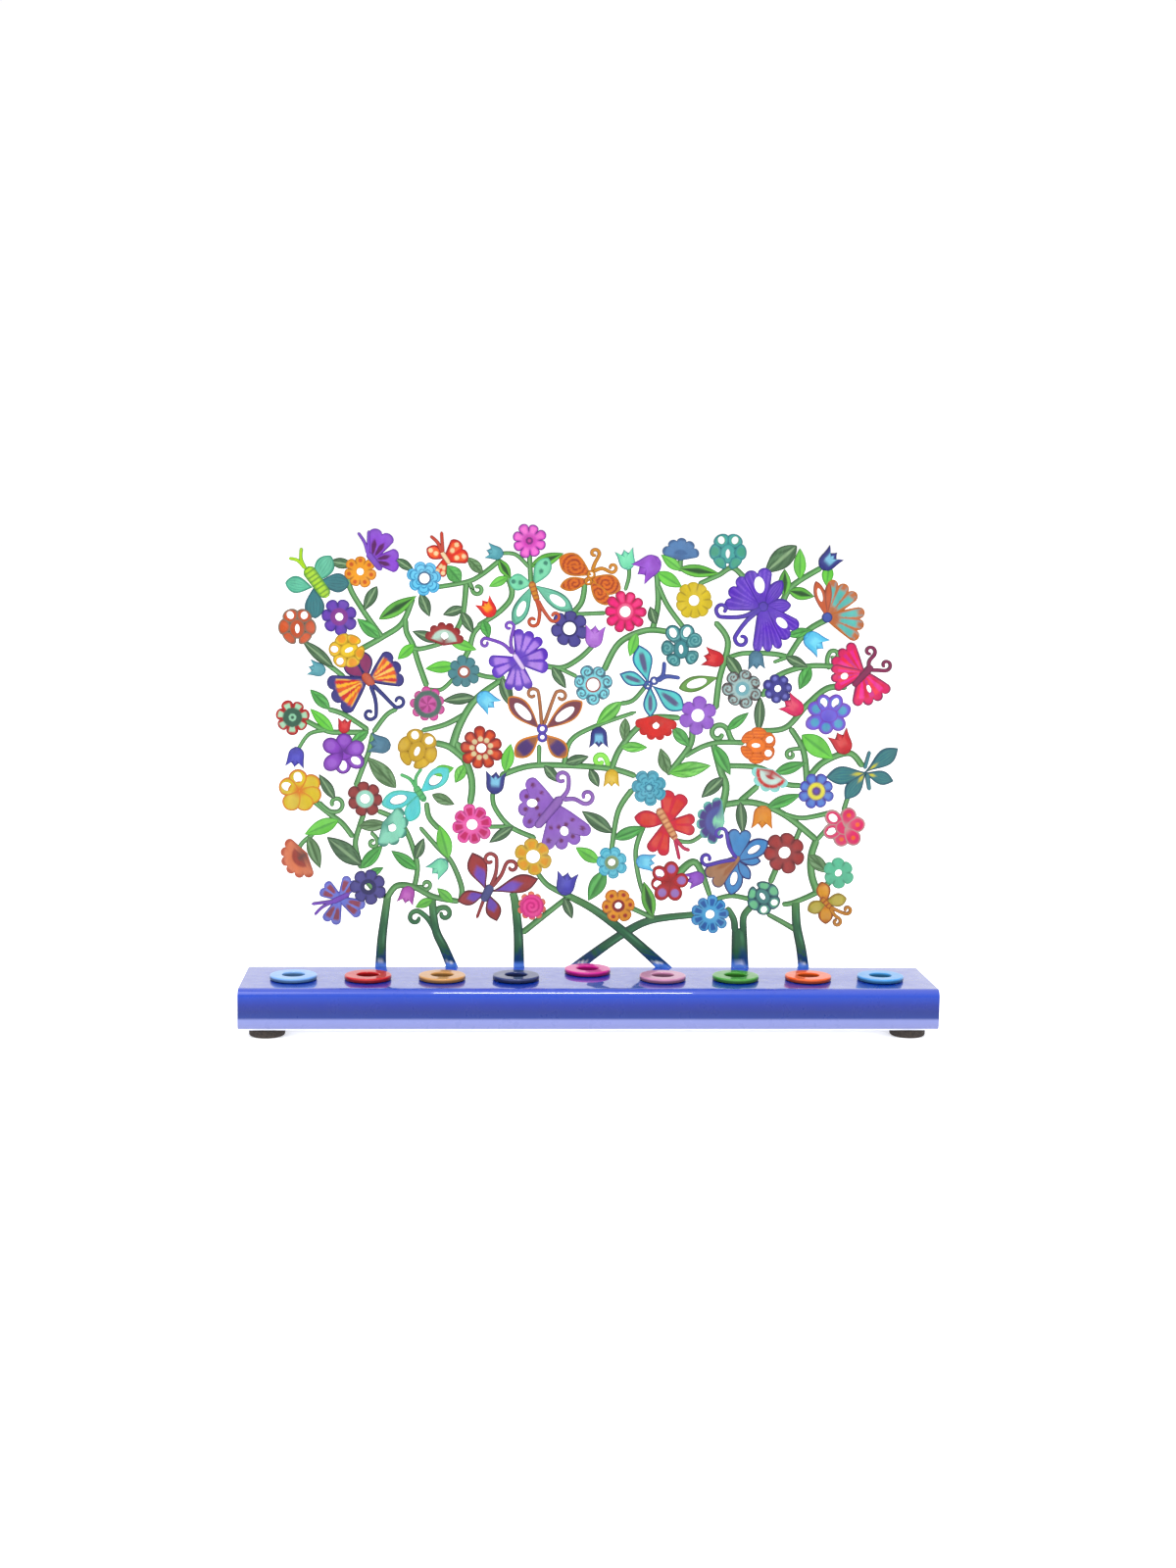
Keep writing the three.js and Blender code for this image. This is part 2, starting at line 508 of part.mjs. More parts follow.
function flowers() {
  flower(-76, 179.2, 8.3, 7, 2.3);
  flower(-114.2, 161.5, 8.6, 7, 1.8);
  flower(-111, 146.5, 7.8, 6, 0);
  flower(-136, 116, 8, 7, 0);
  flower(-133.4, 83, 9.8, 6, 0);
  flower(-103, 78, 8.3, 6, 2.2);
  flower(-101, 37.6, 8.6, 7, 1.7);
  flower(-28.6, 197, 8.2, 8, 0);
  flower(-58.4, 137.4, 7.4, 7, 1.6);
  flower(-74.6, 122.4, 8.3, 8, 0);
  flower(-49.6, 102.4, 10.4, 8, 2.3);
  flower(-53.4, 66.6, 9.8, 8, 2.5);
  flower(-25.4, 52, 8.8, 6, 3);
  flower(-25.6, 28.6, 7, 9, 0);
  flower(11.2, 49.4, 7.4, 6, 1.7);
  flower(14.6, 29.4, 8, 6, 1.6);
  flower(57.6, 25.4, 9.4, 9, 2.1);
  flower(28, 85, 9, 8, 0);
  flower(50, 118.6, 8.8, 7, 3);
  flower(1.4, 131.8, 9.4, 7, 2.8);
  flower(-9.4, 157.4, 9, 7, 2.8);
  flower(15.6, 165.4, 10.4, 9, 2.5);
  flower(47.3, 171, 9, 10, 2.4);
  flower(70.6, 130.6, 9.8, 8, 1.6);
  flower(86.6, 131, 7, 7, 1.6);
  flower(105.8, 83.4, 8.8, 8, 0);
  flower(91.8, 54.6, 10.2, 7, 2.8);
  flower(118, 45, 7.4, 6, 1.7);
  orchid(-133, 157.6, 8.8, 90);
  orchid(-112.4, 99.6, 7.6, 285);
  orchid(-78.6, 101.4, 10, 70);
  orchid(41.6, 150.6, 9.8, 100);
  orchid(62.6, 193.2, 9.2, 90);
  orchid(38.4, 40.6, 9, 190);
  orchid(82.8, 33, 8, 300);
  orchid(110.4, 119.6, 10.6, 85);
  orchid(78.8, 104.6, 9, 5);
  orchid(120.6, 66, 9.6, 165);
}

function sideFlowers() {
  sideFlower(-107.6, 182, 9, 5, 5);
  sideFlower(-92.4, 66.8, 10, 5, -20);
  sideFlower(-131.8, 52.2, 11, 5, 215);
  sideFlower(-66.4, 150.8, 10.4, 5, 110);
  sideFlower(40.6, 190.4, 9, 5, 85);
  sideFlower(31.4, 116.6, 11, 5, 260);
  sideFlower(61.4, 69, 12, 5, 172);
  sideFlower(85, 92, 9.8, 5, 245);
}

function tulips() {
  tulip(-120.6, 136.6, 8, 165);
  tulip(-112.4, 108.4, 7, 85);
  tulip(-132.6, 101.8, 9, 250);
  tulip(-100.4, 105, 9.6, -15);
  tulip(-82, 38, 8.6, 255);
  tulip(-65, 50, 9.4, 222);
  tulip(-40.4, 190.4, 8, 165);
  tulip(-44.6, 162.6, 9, 125);
  tulip(-51, 127.4, 10, -42);
  tulip(-43.6, 80.6, 10.6, 84);
  tulip(-10.8, 34, 11, 80);
  tulip(1, 148.8, 10.4, 84);
  tulip(17, 184.6, 9.4, 105);
  tulip(31, 189.6, 12.4, 215);
  tulip(4.2, 112.6, 9.8, 285);
  tulip(10.6, 93, 8.4, 270);
  tulip(22.6, 50.4, 9, -8);
  tulip(54.4, 43.4, 8.4, 200);
  tulip(61.6, 143, 9.8, 168);
  tulip(76, 148.4, 8.6, 280);
  tulip(105.2, 186.4, 10.4, 45);
  tulip(98.6, 156.8, 11, -42);
  tulip(98.6, 120, 10.4, 148);
  tulip(120, 101, 11, 115);
  tulip(81.4, 76.6, 11, 268);
}

function butterflies() {
  // mint and lime, top left
  wing(-126, 175.6, -118.4, 189.6, 8);
  wing(-126, 175.6, -138.6, 177, 6.6);
  wing(-124, 175.6, -109.6, 178.4, 9);
  wing(-124, 175.6, -126.4, 161.6, 8);
  vine(5, 5, [[-129.4, 183.6], [-119, 170]]);
  vine(1.8, 1.6, [[-129.6, 183], [-132.4, 192.4]]);
  vine(1.8, 1.6, [[-129.6, 183], [-137, 187.6]]);
  // purple, top left
  wing(-98.6, 187.6, -95.4, 202.4, 8.4);
  wing(-98, 186.8, -86.4, 186, 9);
  vine(3.6, 3, [[-102, 191.4], [-95, 183.6]]);
  vine(1.6, 1.4, [[-101.6, 190.6], [-101.8, 200.4]]);
  vine(1.6, 1.4, [[-101.6, 190.6], [-107.4, 197.6]]);
  // navy with orange stripes, left
  wing(-101.6, 133.4, -120.6, 130.6, 9);
  wing(-101.6, 133.4, -111.4, 117.4, 9);
  wing(-100.6, 133.6, -94, 147.4, 9);
  wing(-100.6, 133.6, -84.4, 132.4, 9.4);
  vine(4, 4, [[-104, 136.4], [-98.6, 130.6]]);
  vine(1.8, 1.6, [[-99.8, 131], [-96.4, 120], [-101.6, 115.4], [-102.4, 119.4]]);
  vine(1.8, 1.6, [[-98.8, 131], [-89.4, 120.2], [-84, 123], [-87, 126.4]]);
  // turquoise, left of the middle
  wing(-77.6, 81.4, -95, 75.6, 9);
  wing(-76.6, 82.6, -65, 93.4, 9.4);
  wing(-78, 80.6, -83, 67.6, 7.4);
  wing(-76, 80.4, -66.6, 76.6, 6.6);
  vine(3, 3, [[-79.6, 84.6], [-74.6, 76.8]]);
  vine(1.8, 1.6, [[-79.4, 83.4], [-86.6, 89.6]]);
  vine(1.8, 1.6, [[-79.4, 83.4], [-76.6, 92.6]]);
  hole(-87.4, 78.4, 3.4, 1.6, 12);
  hole(-71.4, 85.2, 3.4, 2, 40);
  // lavender blue, bottom left
  wing(-114.6, 32.4, -124, 37.6, 8);
  wing(-114, 33, -106.6, 42.6, 7.6);
  wing(-113.6, 31.4, -104.6, 25.6, 7.6);
  wing(-115, 31.4, -118.6, 20.8, 7.6);
  vine(3, 2.6, [[-118.4, 30.4], [-108.6, 35.4]]);
  vine(1.6, 1.4, [[-117.6, 30.8], [-127, 28.6]]);
  vine(1.6, 1.4, [[-117.6, 30.8], [-125.6, 24.4]]);
  // red, top
  wing(-66.6, 187.6, -61.6, 198.4, 8);
  wing(-66.4, 187.6, -56.4, 185.4, 8.6);
  wing(-67, 188.6, -74.8, 193, 6);
  wing(-67, 187.6, -69.6, 181, 5);
  vine(3.4, 3, [[-68.6, 194], [-64, 184.6]]);
  vine(1.8, 1.6, [[-67.6, 193], [-72.4, 199.4]]);
  vine(1.8, 1.6, [[-67.6, 193], [-68.6, 200.6]]);
  // mint dragonfly with curling tails
  wing(-27, 178, -21, 189.6, 8);
  wing(-27.4, 177.6, -38, 178.4, 7);
  wing(-25.6, 177, -8.4, 165.6, 9);
  wing(-28, 176.6, -35.4, 158.6, 8.4);
  vine(3.4, 2.6, [[-27.6, 179], [-24.4, 169]]);
  vine(2, 1.8, [[-25.2, 171], [-23.2, 162], [-27, 157.6], [-29.4, 160.4], [-26.6, 162]]);
  vine(2, 1.8, [[-24.8, 170], [-20, 160.6], [-15.2, 160.6], [-17, 164.6], [-19, 162.6]]);
  hole(-16.6, 171.4, 3.8, 1.6, -32);
  hole(-31.6, 168.4, 4, 1.3, 66);
  // violet, with two curled feelers
  wing(-35.4, 144.6, -28.4, 157.6, 9.4);
  wing(-33.6, 143.6, -20.4, 143.6, 10);
  wing(-35.4, 144, -47, 141.6, 7.4);
  wing(-35, 143.4, -29.6, 130.4, 9.4);
  vine(2.4, 2.2, [[-37.4, 148.4], [-30.6, 138.6]]);
  vine(2, 1.8, [[-36.6, 146.8], [-43, 152.8], [-49.6, 151.6], [-48.4, 148]]);
  vine(2, 1.8, [[-36.6, 146.8], [-39.8, 155.4], [-38, 160], [-35.4, 158]]);
  // orange with painted spirals
  wing(0, 181.6, -14.6, 188.4, 10.4);
  wing(-0.6, 179.6, -14, 176.6, 6);
  wing(0, 180.6, 13, 175.4, 9.4);
  wing(-1, 179.6, 7.4, 168.4, 6.4);
  vine(4.4, 4, [[0.6, 184.4], [-2.6, 176.8]]);
  vine(2.2, 1.8, [[0.4, 183], [5, 189], [3, 194], [-0.2, 192.6]]);
  vine(2.2, 1.8, [[0.4, 183], [5.4, 188.4], [11, 187.4], [9.6, 184]]);
  // brown and orange with long curled feelers, middle
  wing(-22.6, 111.6, -37.4, 126, 9.4);
  wing(-20, 111.6, -3.6, 124.6, 9.4);
  wing(-22.6, 108.6, -33.4, 98.6, 7.4);
  wing(-20, 108.6, -11.4, 98.6, 7.4);
  vine(5, 5, [[-21.8, 113.6], [-21.6, 106.4]]);
  vine(1.8, 1.6, [[-21.4, 113], [-21, 127], [-26.6, 132.4], [-29, 127.6], [-25.4, 126.6]]);
  vine(1.8, 1.6, [[-21, 113], [-18.4, 126], [-12.4, 130], [-10.8, 124.8], [-14.6, 125]]);
  hole(-30.4, 118.4, 4.8, 1.8, -47);
  hole(-12, 117.6, 4.8, 1.8, 40);
  // large purple, middle
  wing(-17.6, 74.6, -29.4, 93.4, 12);
  wing(-19, 72, -33.8, 68, 12);
  wing(-16, 73, 4, 59.6, 12.6);
  wing(-19.4, 71, -17.6, 56.6, 10);
  vine(4.6, 4, [[-12.6, 79.6], [-24.6, 65]]);
  vine(2.2, 1.8, [[-12.6, 78.6], [-7.4, 86.4], [-10, 92], [-13.8, 88.4]]);
  vine(2.2, 1.8, [[-12.6, 78], [-5.6, 83.4], [0, 84.8], [3.2, 80.4], [-1.6, 77.4]]);
  hole(-27, 79.4, 1.6);
  hole(-26.4, 74.6, 2.6, 1.6, 25);
  hole(-13.4, 64.6, 1.8);
  hole(-8.2, 65, 1.8);
  // maroon and violet, low in the middle
  wing(-46.4, 36, -53.4, 54, 9);
  wing(-45, 35.6, -22.4, 41.4, 8.4);
  wing(-46.6, 34.4, -60.4, 31, 6.4);
  wing(-45.4, 33.6, -41.6, 21.6, 7);
  vine(4.6, 4, [[-44.6, 38.6], [-48.4, 31]]);
  vine(1.8, 1.4, [[-47.6, 32.4], [-51, 23]]);
  vine(2, 1.8, [[-44.6, 37], [-41.4, 48], [-45, 53.4], [-47.4, 50]]);
  vine(2, 1.8, [[-44.6, 37], [-38.6, 47.6], [-33.6, 49.4], [-33, 45.4]]);
  // turquoise and blue star, middle
  wing(27.8, 131.6, 22.4, 150.6, 9.6);
  wing(28, 132, 13.6, 136.6, 6.6);
  wing(28.6, 132.6, 43.4, 121, 8.6);
  wing(28.4, 132.6, 28, 116.6, 6);
  vine(2.4, 2, [[28.4, 131.4], [33, 135.4], [34, 143]]);
  vine(2.4, 2, [[31, 133.6], [35, 136], [41.6, 135.4]]);
  hole(25.6, 132.2, 1, 1, 0);
  hole(29.6, 133.8, 1.1, 1.1, 0);
  // crimson with an orange body, right of the middle
  wing(36, 68.6, 40, 83.4, 11);
  wing(38.6, 67, 49.8, 67.6, 10.6);
  wing(36, 69.4, 21.4, 70.6, 8.4);
  wing(36.6, 67.4, 31.6, 53.4, 8.4);
  vine(3.8, 3.4, [[32.4, 74.6], [41, 60]]);
  vine(1.8, 1.6, [[40.6, 61], [44.4, 56.6], [47.6, 55.4]]);
  vine(1.8, 1.6, [[40.4, 61], [42.8, 51]]);
  hole(36, 69.8, 0.8);
  hole(37.8, 66.6, 0.8);
  // blue and brown, low on the right
  wing(69.8, 50.4, 69.8, 66.4, 9);
  wing(69.6, 51, 83.6, 58.6, 9);
  wing(70, 51.4, 55.4, 41.4, 8.4);
  wing(70, 52, 68, 34.6, 10.4);
  wing(69, 51.4, 81, 50.2, 5.4);
  wing(69.4, 51.6, 76, 41.8, 5.4);
  vine(2.2, 1.8, [[69.6, 51], [58.6, 59.6], [59.6, 65.8], [62.6, 63]]);
  vine(2.2, 1.8, [[69.6, 51], [54, 54.8], [52.4, 49.6], [56, 51]]);
  hole(77.4, 56, 2.6, 1.2, 30);
  hole(67.4, 42, 3, 1.4, 84);
  // large indigo with curled feelers, top right
  wing(80, 167.6, 62, 177.4, 11);
  wing(79, 167, 76.6, 186.6, 9);
  wing(79.4, 168.6, 86.6, 180.4, 6.4);
  wing(79, 168.4, 91.6, 169.6, 6.6);
  wing(79.4, 168.4, 95.4, 156, 9);
  wing(79, 170.4, 79.4, 147.6, 9);
  wing(79, 169.4, 88.4, 151, 8.4);
  vine(2.4, 2, [[78, 167], [66, 161.8], [56.6, 163], [57, 170], [61.6, 168]]);
  vine(2.4, 2, [[78.6, 167.4], [67.4, 159.6], [66.6, 151.2], [71.6, 152.6], [69.4, 155]]);
  hole(77, 178.6, 3, 1.6, 97);
  hole(89, 160.8, 3, 1.5, -38);
  // orange and teal, top right
  wing(109, 163.6, 115, 181.4, 9.6);
  wing(109, 163.6, 124, 173, 8.6);
  wing(109.4, 163.6, 127.4, 166, 8.4);
  wing(109.4, 164, 121.6, 154.6, 8.4);
  wing(108.4, 162.6, 104.4, 181, 6);
  wing(109, 163, 109.6, 180.4, 3.6);
  disc(109, 164, 2.4);
  hole(105.4, 174, 2.8, 1, 101);
  // crimson and magenta, right
  wing(125, 137.6, 117.4, 151.6, 9.4);
  wing(125.4, 137, 111.6, 140.6, 10);
  wing(125, 137.4, 114.6, 131.6, 7);
  wing(125, 137.6, 140.4, 128.6, 9);
  wing(125.6, 138.4, 134, 123.6, 7.6);
  wing(126, 139.4, 124, 125.4, 7.4);
  vine(3.6, 3, [[130.6, 142], [121.6, 132.4]]);
  vine(2, 1.8, [[129.4, 140.4], [133.2, 148], [129.4, 151], [128.6, 147]]);
  vine(2, 1.8, [[129.4, 140.4], [136.6, 145], [139, 140.6], [135.6, 140]]);
  hole(117.8, 137.8, 1.2);
  hole(123.4, 134.2, 1.9, 0.8, -42);
  // teal and yellow star, right
  wing(128, 92, 144, 104, 8.4);
  wing(128, 92, 142.4, 88, 6.4);
  wing(130, 91.6, 110.4, 89.6, 8.4);
  wing(129, 93, 120.4, 79.6, 6.6);
  vine(2.4, 1.8, [[130, 91.6], [131, 83.6]]);
  vine(1.8, 1.6, [[127.6, 95], [130.6, 102.4]]);
  // orange and green, bottom right
  wing(111.6, 31.6, 112.4, 40, 6.6);
  wing(111.6, 32, 121.4, 31.6, 5.6);
  wing(111.6, 32, 111.6, 21.4, 7);
  wing(112, 32, 104.6, 29, 6);
  vine(3, 2.6, [[108.6, 34], [115, 28.4]]);
  vine(1.8, 1.6, [[114, 29], [120, 24.8], [123.6, 27.4]]);
  vine(1.8, 1.6, [[114, 29], [118.6, 22.4], [115.6, 20]]);
}

// ---------------------------------------------------------------- the panel

/** Everything below the top of the base, where the stems are trimmed off square. */
function belowPlate() {
  const trim = new THREE.BoxGeometry(BASE.length, 4 * SHEET, BASE.height);
  trim.translate(0, PANEL_FRONT, PLATE_TOP + GAP - BASE.height / 2);
  return toSolid(trim);
}

/** A tab that carries a stem down through its slot in the base. */
function tab(x) {
  const half = TAB.width / 2;
  const bottom = -SHEET - TAB.below;
  const top = 2 * GAP;
  return sheet([[x - half, bottom], [x + half, bottom], [x + half, top], [x - half, top]]);
}

/** One laser-cut sheet: all motifs joined, holes cut out, and tabs added under the stems. */
function treePanel() {
  stems();
  vines();
  tendrils();
  leaves();
  flowers();
  sideFlowers();
  tulips();
  butterflies();
  const holes = sheetHoles.reduce((joined, piece) => joined.add(piece));
  let panel = sheetParts.reduce((joined, piece) => joined.add(piece));
  panel = panel.subtract(holes).subtract(belowPlate());
  for (const x of STEM_FEET) {
    panel = panel.add(tab(x));
  }
  return paintedMetal("tree_panel", toGeometry(panel.asOriginal().simplify(MERGE)), PANEL_COLOUR);
}

// ---------------------------------------------------------------- assembly

const candleHolder = new THREE.Group();
candleHolder.add(baseChannel());
candleHolder.add(treePanel());
cupPlaces().forEach((place, index) => candleHolder.add(candleCup(index, place)));
rubberFeet().forEach((foot) => candleHolder.add(foot));

export default candleHolder;
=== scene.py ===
"""Looks of a nine-light candle holder with a hand-painted cut-out panel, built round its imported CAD."""

import math
from collections import namedtuple

import bpy
from mathutils import Matrix, Vector


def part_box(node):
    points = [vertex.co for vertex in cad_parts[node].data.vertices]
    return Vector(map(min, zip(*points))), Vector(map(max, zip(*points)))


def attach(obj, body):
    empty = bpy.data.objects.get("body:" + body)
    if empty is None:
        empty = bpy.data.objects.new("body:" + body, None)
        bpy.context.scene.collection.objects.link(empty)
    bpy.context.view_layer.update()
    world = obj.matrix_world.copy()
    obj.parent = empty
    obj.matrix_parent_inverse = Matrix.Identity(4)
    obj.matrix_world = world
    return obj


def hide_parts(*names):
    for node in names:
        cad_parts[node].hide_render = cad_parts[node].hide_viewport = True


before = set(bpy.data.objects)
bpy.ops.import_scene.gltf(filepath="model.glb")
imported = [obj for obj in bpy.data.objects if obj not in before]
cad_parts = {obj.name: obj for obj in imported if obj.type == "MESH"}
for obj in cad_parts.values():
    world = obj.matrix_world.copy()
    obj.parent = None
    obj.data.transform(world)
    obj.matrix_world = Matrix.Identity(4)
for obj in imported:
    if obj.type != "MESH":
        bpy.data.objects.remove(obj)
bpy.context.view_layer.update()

MM = 0.001
panel_low, panel_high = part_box("tree_panel")
base_low, base_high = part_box("base_channel")
PLATE_TOP = base_high[2]
PANEL_MIDDLE = (panel_low[1] + panel_high[1]) / 2
CUPS = [f"candle_cup_{number}" for number in range(1, 10)]
FEET = ["foot_front_left", "foot_front_right", "foot_rear_left", "foot_rear_right"]

# millimetres, as in the CAD
GAP = 0.3
SHEET = 2.0
BASE_LENGTH = (base_high[0] - base_low[0]) / MM
BASE_DEPTH = (base_high[1] - base_low[1]) / MM
BASE_LOW = base_low[2] / MM
BASE_TOP = PLATE_TOP / MM
BASE_BEND = 3.5
BASE_LIP = 20.0
CUP_TUBE = 6.0
CUP_HOLE = CUP_TUBE + GAP
CUP_BORE = 5.05
CUP_FLOOR = 1.5
FLANGE_HEIGHT = 2.0
RING_TOP = BASE_TOP + FLANGE_HEIGHT
TAB_WIDTH = 5.0
TAB_DEPTH = 3.5
STEM_FEET = [-95, -63, -31, -3, 36, 72, 102]


# ---------------------------------------------------------------- numbers and colours

def mix(first, second, share):
    """The colour or place that lies at a share of the way from the first to the second."""
    return tuple(a + (b - a) * share for a, b in zip(first, second))


def smooth(low, high, value):
    """0 below the low limit and 1 above the high one, with a soft step between them."""
    share = min(1.0, max(0.0, (value - low) / (high - low)))
    return share * share * (3 - 2 * share)


def rgb(red, green, blue):
    """An everyday 0 to 255 colour as the linear light that shaders use."""
    return tuple(((c / 255 + 0.055) / 1.055) ** 2.4 if c > 10 else c / 3295 for c in (red, green, blue))


def spline(points, steps):
    """Points on a smooth Catmull-Rom line through the given ones."""
    padded = [points[0], *points, points[-1]]
    line = []
    for number in range(len(points) - 1):
        before, start, end, after = padded[number:number + 4]
        for step in range(steps):
            t = step / steps
            line.append(tuple(
                0.5 * (2 * b + (c - a) * t + (2 * a - 5 * b + 4 * c - d) * t ** 2
                       + (3 * b - a - 3 * c + d) * t ** 3)
                for a, b, c, d in zip(before, start, end, after)
            ))
    return [*line, tuple(points[-1])]


def placed(x, h, along, across, turn):
    """The point that lies along and across from x, h in directions turned by some radians."""
    return (x + along * math.cos(turn) - across * math.sin(turn),
            h + along * math.sin(turn) + across * math.cos(turn))


def oval(x, h, long_half, short_half, angle, count):
    """Points anticlockwise round an oval, from the end of its long half that is opposite to the angle."""
    lean = math.radians(angle)
    points = []
    for number in range(count):
        turn = math.pi + 2 * math.pi * number / count
        points.append(placed(x, h, long_half * math.cos(turn), short_half * math.sin(turn), lean))
    return points


# ---------------------------------------------------------------- painted sheet metal

class PaintedSheet:
    """Cut-out shapes in the panel's plane, gathered into one mesh with a paint colour at every vertex."""

    BEVEL = 0.22        # mm, the rounding of the cut edges
    LIFT_STEP = 0.011   # mm, keeps overlapping shapes from sharing one plane
    LIFTS = 9

    def __init__(self, name, thickness):
        self.name = name
        self.half = thickness / 2
        self.count = 0
        self.vertices = []
        self.colours = []
        self.faces = []

    def slab(self, outline, spine, paint, rings=6, holed=False):
        """A closed slab from an anticlockwise outline to its spine, or to the edge of its hole.

        paint(number, inward, depth, place) gives the colour at an outline point's number, the share of the
        way from outline to spine, the distance from the outline in mm, and the place itself.
        """
        lift = self.LIFT_STEP * (self.count % self.LIFTS)
        self.count += 1
        front = -self.half - lift
        back = self.half + lift
        reach = [math.dist(o, s) for o, s in zip(outline, spine)]
        edge = [min(self.BEVEL / r, 0.3) if r > 0 else 0 for r in reach]

        def loop(share, y, dim):
            """One ring of vertices: a share of 0 is the outline, 1 the bevelled rim and 2 the spine."""
            ring = []
            for number, (o, s) in enumerate(zip(outline, spine)):
                t = edge[number] * share if share <= 1 else edge[number] + (1 - edge[number]) * (share - 1)
                point = (o[0] + (s[0] - o[0]) * t, y, o[1] + (s[1] - o[1]) * t)
                colour = paint(number, t, t * reach[number], (point[0], point[2]))
                ring.append((point, tuple(c * dim for c in colour)))
            return ring

        inner = 1.97 if holed else 2
        loops = [loop(1 + (inner - 1) * (1 - k / rings), front, 1) for k in range(rings)]
        loops += [loop(1, front, 1), loop(0, front + self.BEVEL, 0.9), loop(0, back - self.BEVEL, 0.7)]
        loops += [loop(1, back, 0.85), loop(1.5, back, 0.85), loop(inner, back, 0.85)]
        if holed:
            loops += [loop(2, back - self.BEVEL, 0.7), loop(2, front + self.BEVEL, 0.9)]
        self.connect(loops, holed)

    def cut_out(self, outline, centre, paint, rings, opening=None):
        """A slab round a centre, or round an oval opening: (long half, short half, angle in radians)."""
        if opening is None:
            self.slab(outline, [centre] * len(outline), paint, rings)
            return
        long_half, short_half, lean = opening
        spine = []
        for x, h in outline:
            turn = math.atan2(h - centre[1], x - centre[0]) - lean
            reach = math.hypot(short_half * math.cos(turn), long_half * math.sin(turn))
            size = long_half * short_half / reach
            spine.append((centre[0] + size * math.cos(turn + lean), centre[1] + size * math.sin(turn + lean)))
        self.slab(outline, spine, paint, rings, holed=True)

    def connect(self, loops, ring_closed):
        """Join each loop of vertices to the next by faces, and the last to the first round a hole."""
        index = {}
        numbered = []
        for ring in loops:
            row = []
            for point, colour in ring:
                key = tuple(round(c, 4) for c in point)
                if key not in index:
                    index[key] = len(self.vertices)
                    x, y, h = point
                    self.vertices.append((x * MM, PANEL_MIDDLE + y * MM, PLATE_TOP + h * MM))
                    self.colours.append(colour)
                row.append(index[key])
            numbered.append(row)
        pairs = list(zip(numbered, numbered[1:]))
        if ring_closed:
            pairs.append((numbered[-1], numbered[0]))
        for inner, outer in pairs:
            for a in range(len(inner)):
                b = (a + 1) % len(inner)
                corners = []
                for vertex in (outer[a], outer[b], inner[b], inner[a]):
                    if vertex not in corners:
                        corners.append(vertex)
                if len(corners) > 2:
                    self.faces.append(corners)

    def build(self, material):
        """The gathered shapes as one object with the paint attribute."""
        mesh = bpy.data.meshes.new(self.name)
        mesh.from_pydata(self.vertices, [], self.faces)
        paint = mesh.color_attributes.new("paint", "FLOAT_COLOR", "POINT")
        paint.data.foreach_set("color", [c for colour in self.colours for c in (*colour, 1.0)])
        mesh.materials.append(material)
        mesh.validate()
        piece = bpy.data.objects.new(self.name, mesh)
        bpy.context.scene.collection.objects.link(piece)
        return piece


stem_sheet = PaintedSheet("painted_stems", 1.62)
leaf_sheet = PaintedSheet("painted_leaves", 1.74)
wing_sheet = PaintedSheet("painted_wings", 1.84)
flower_sheet = PaintedSheet("painted_flowers", 1.96)
bloom_sheet = PaintedSheet("painted_blooms", 2.02)
body_sheet = PaintedSheet("painted_bodies", 2.12)


# ---------------------------------------------------------------- stems, vines and bodies

STEM = rgb(82, 136, 78)
STEM_EDGE = rgb(48, 98, 50)
# painted highlight: the lighter streak along the vine stems
STEM_HIGHLIGHT = rgb(110, 164, 104)
PINE = rgb(38, 98, 62)
PINE_EDGE = rgb(20, 58, 48)
# painted highlight: the light streak up the dark stems
PINE_HIGHLIGHT = rgb(84, 150, 104)
# painted reflection: the navy band low on the stems
NAVY_REFLECTION = rgb(30, 66, 118)
BASE_BLUE = rgb(104, 148, 238)
# painted highlight: the white glint just above the stems' blue feet
PAINTED_GLINT = rgb(250, 255, 255)
FOOT_LINE = 2.1     # mm above the plate, where the base's blue lacquer stops on the stems
NAVY_LINE = 6.0     # mm, where the stems are darkest
PINE_TOP = 18.0     # mm, where the dark foot colour starts to fade
PINE_FADE = 16.0

LINE_PAINT = {
    "lime": (rgb(140, 215, 95), rgb(100, 180, 60)),
    "lime_body": (rgb(164, 206, 66), rgb(84, 140, 60)),
    "green_body": (rgb(90, 175, 105), rgb(60, 140, 90)),
    "violet_body": (rgb(120, 80, 180), rgb(80, 45, 130)),
    "pale_body": (rgb(210, 190, 225), rgb(120, 80, 180)),
    "cream_body": (rgb(226, 200, 160), rgb(150, 60, 50)),
    "purple_body": (rgb(140, 100, 175), rgb(95, 60, 135)),
    "navy_body": (rgb(50, 55, 120), rgb(30, 30, 85)),
    "indigo_body": (rgb(85, 65, 165), rgb(50, 40, 120)),
    "red_body": (rgb(185, 70, 55), rgb(140, 35, 30)),
    "rust_body": (rgb(185, 85, 60), rgb(140, 50, 40)),
    "amber_body": (rgb(195, 130, 50), rgb(140, 75, 30)),
    "brown_body": (rgb(165, 105, 65), rgb(110, 60, 45)),
    "maroon_body": (rgb(150, 65, 65), rgb(100, 25, 40)),
    "slate_body": (rgb(75, 80, 130), rgb(50, 50, 95)),
    "blue_body": (rgb(70, 85, 155), rgb(40, 50, 115)),
    "tan_body": (rgb(215, 160, 115), rgb(170, 100, 70)),
    "crimson_body": (rgb(185, 60, 90), rgb(140, 25, 60)),
    "plum_body": (rgb(125, 40, 80), rgb(85, 20, 55)),
    "teal_body": (rgb(65, 120, 130), rgb(40, 85, 95)),
}


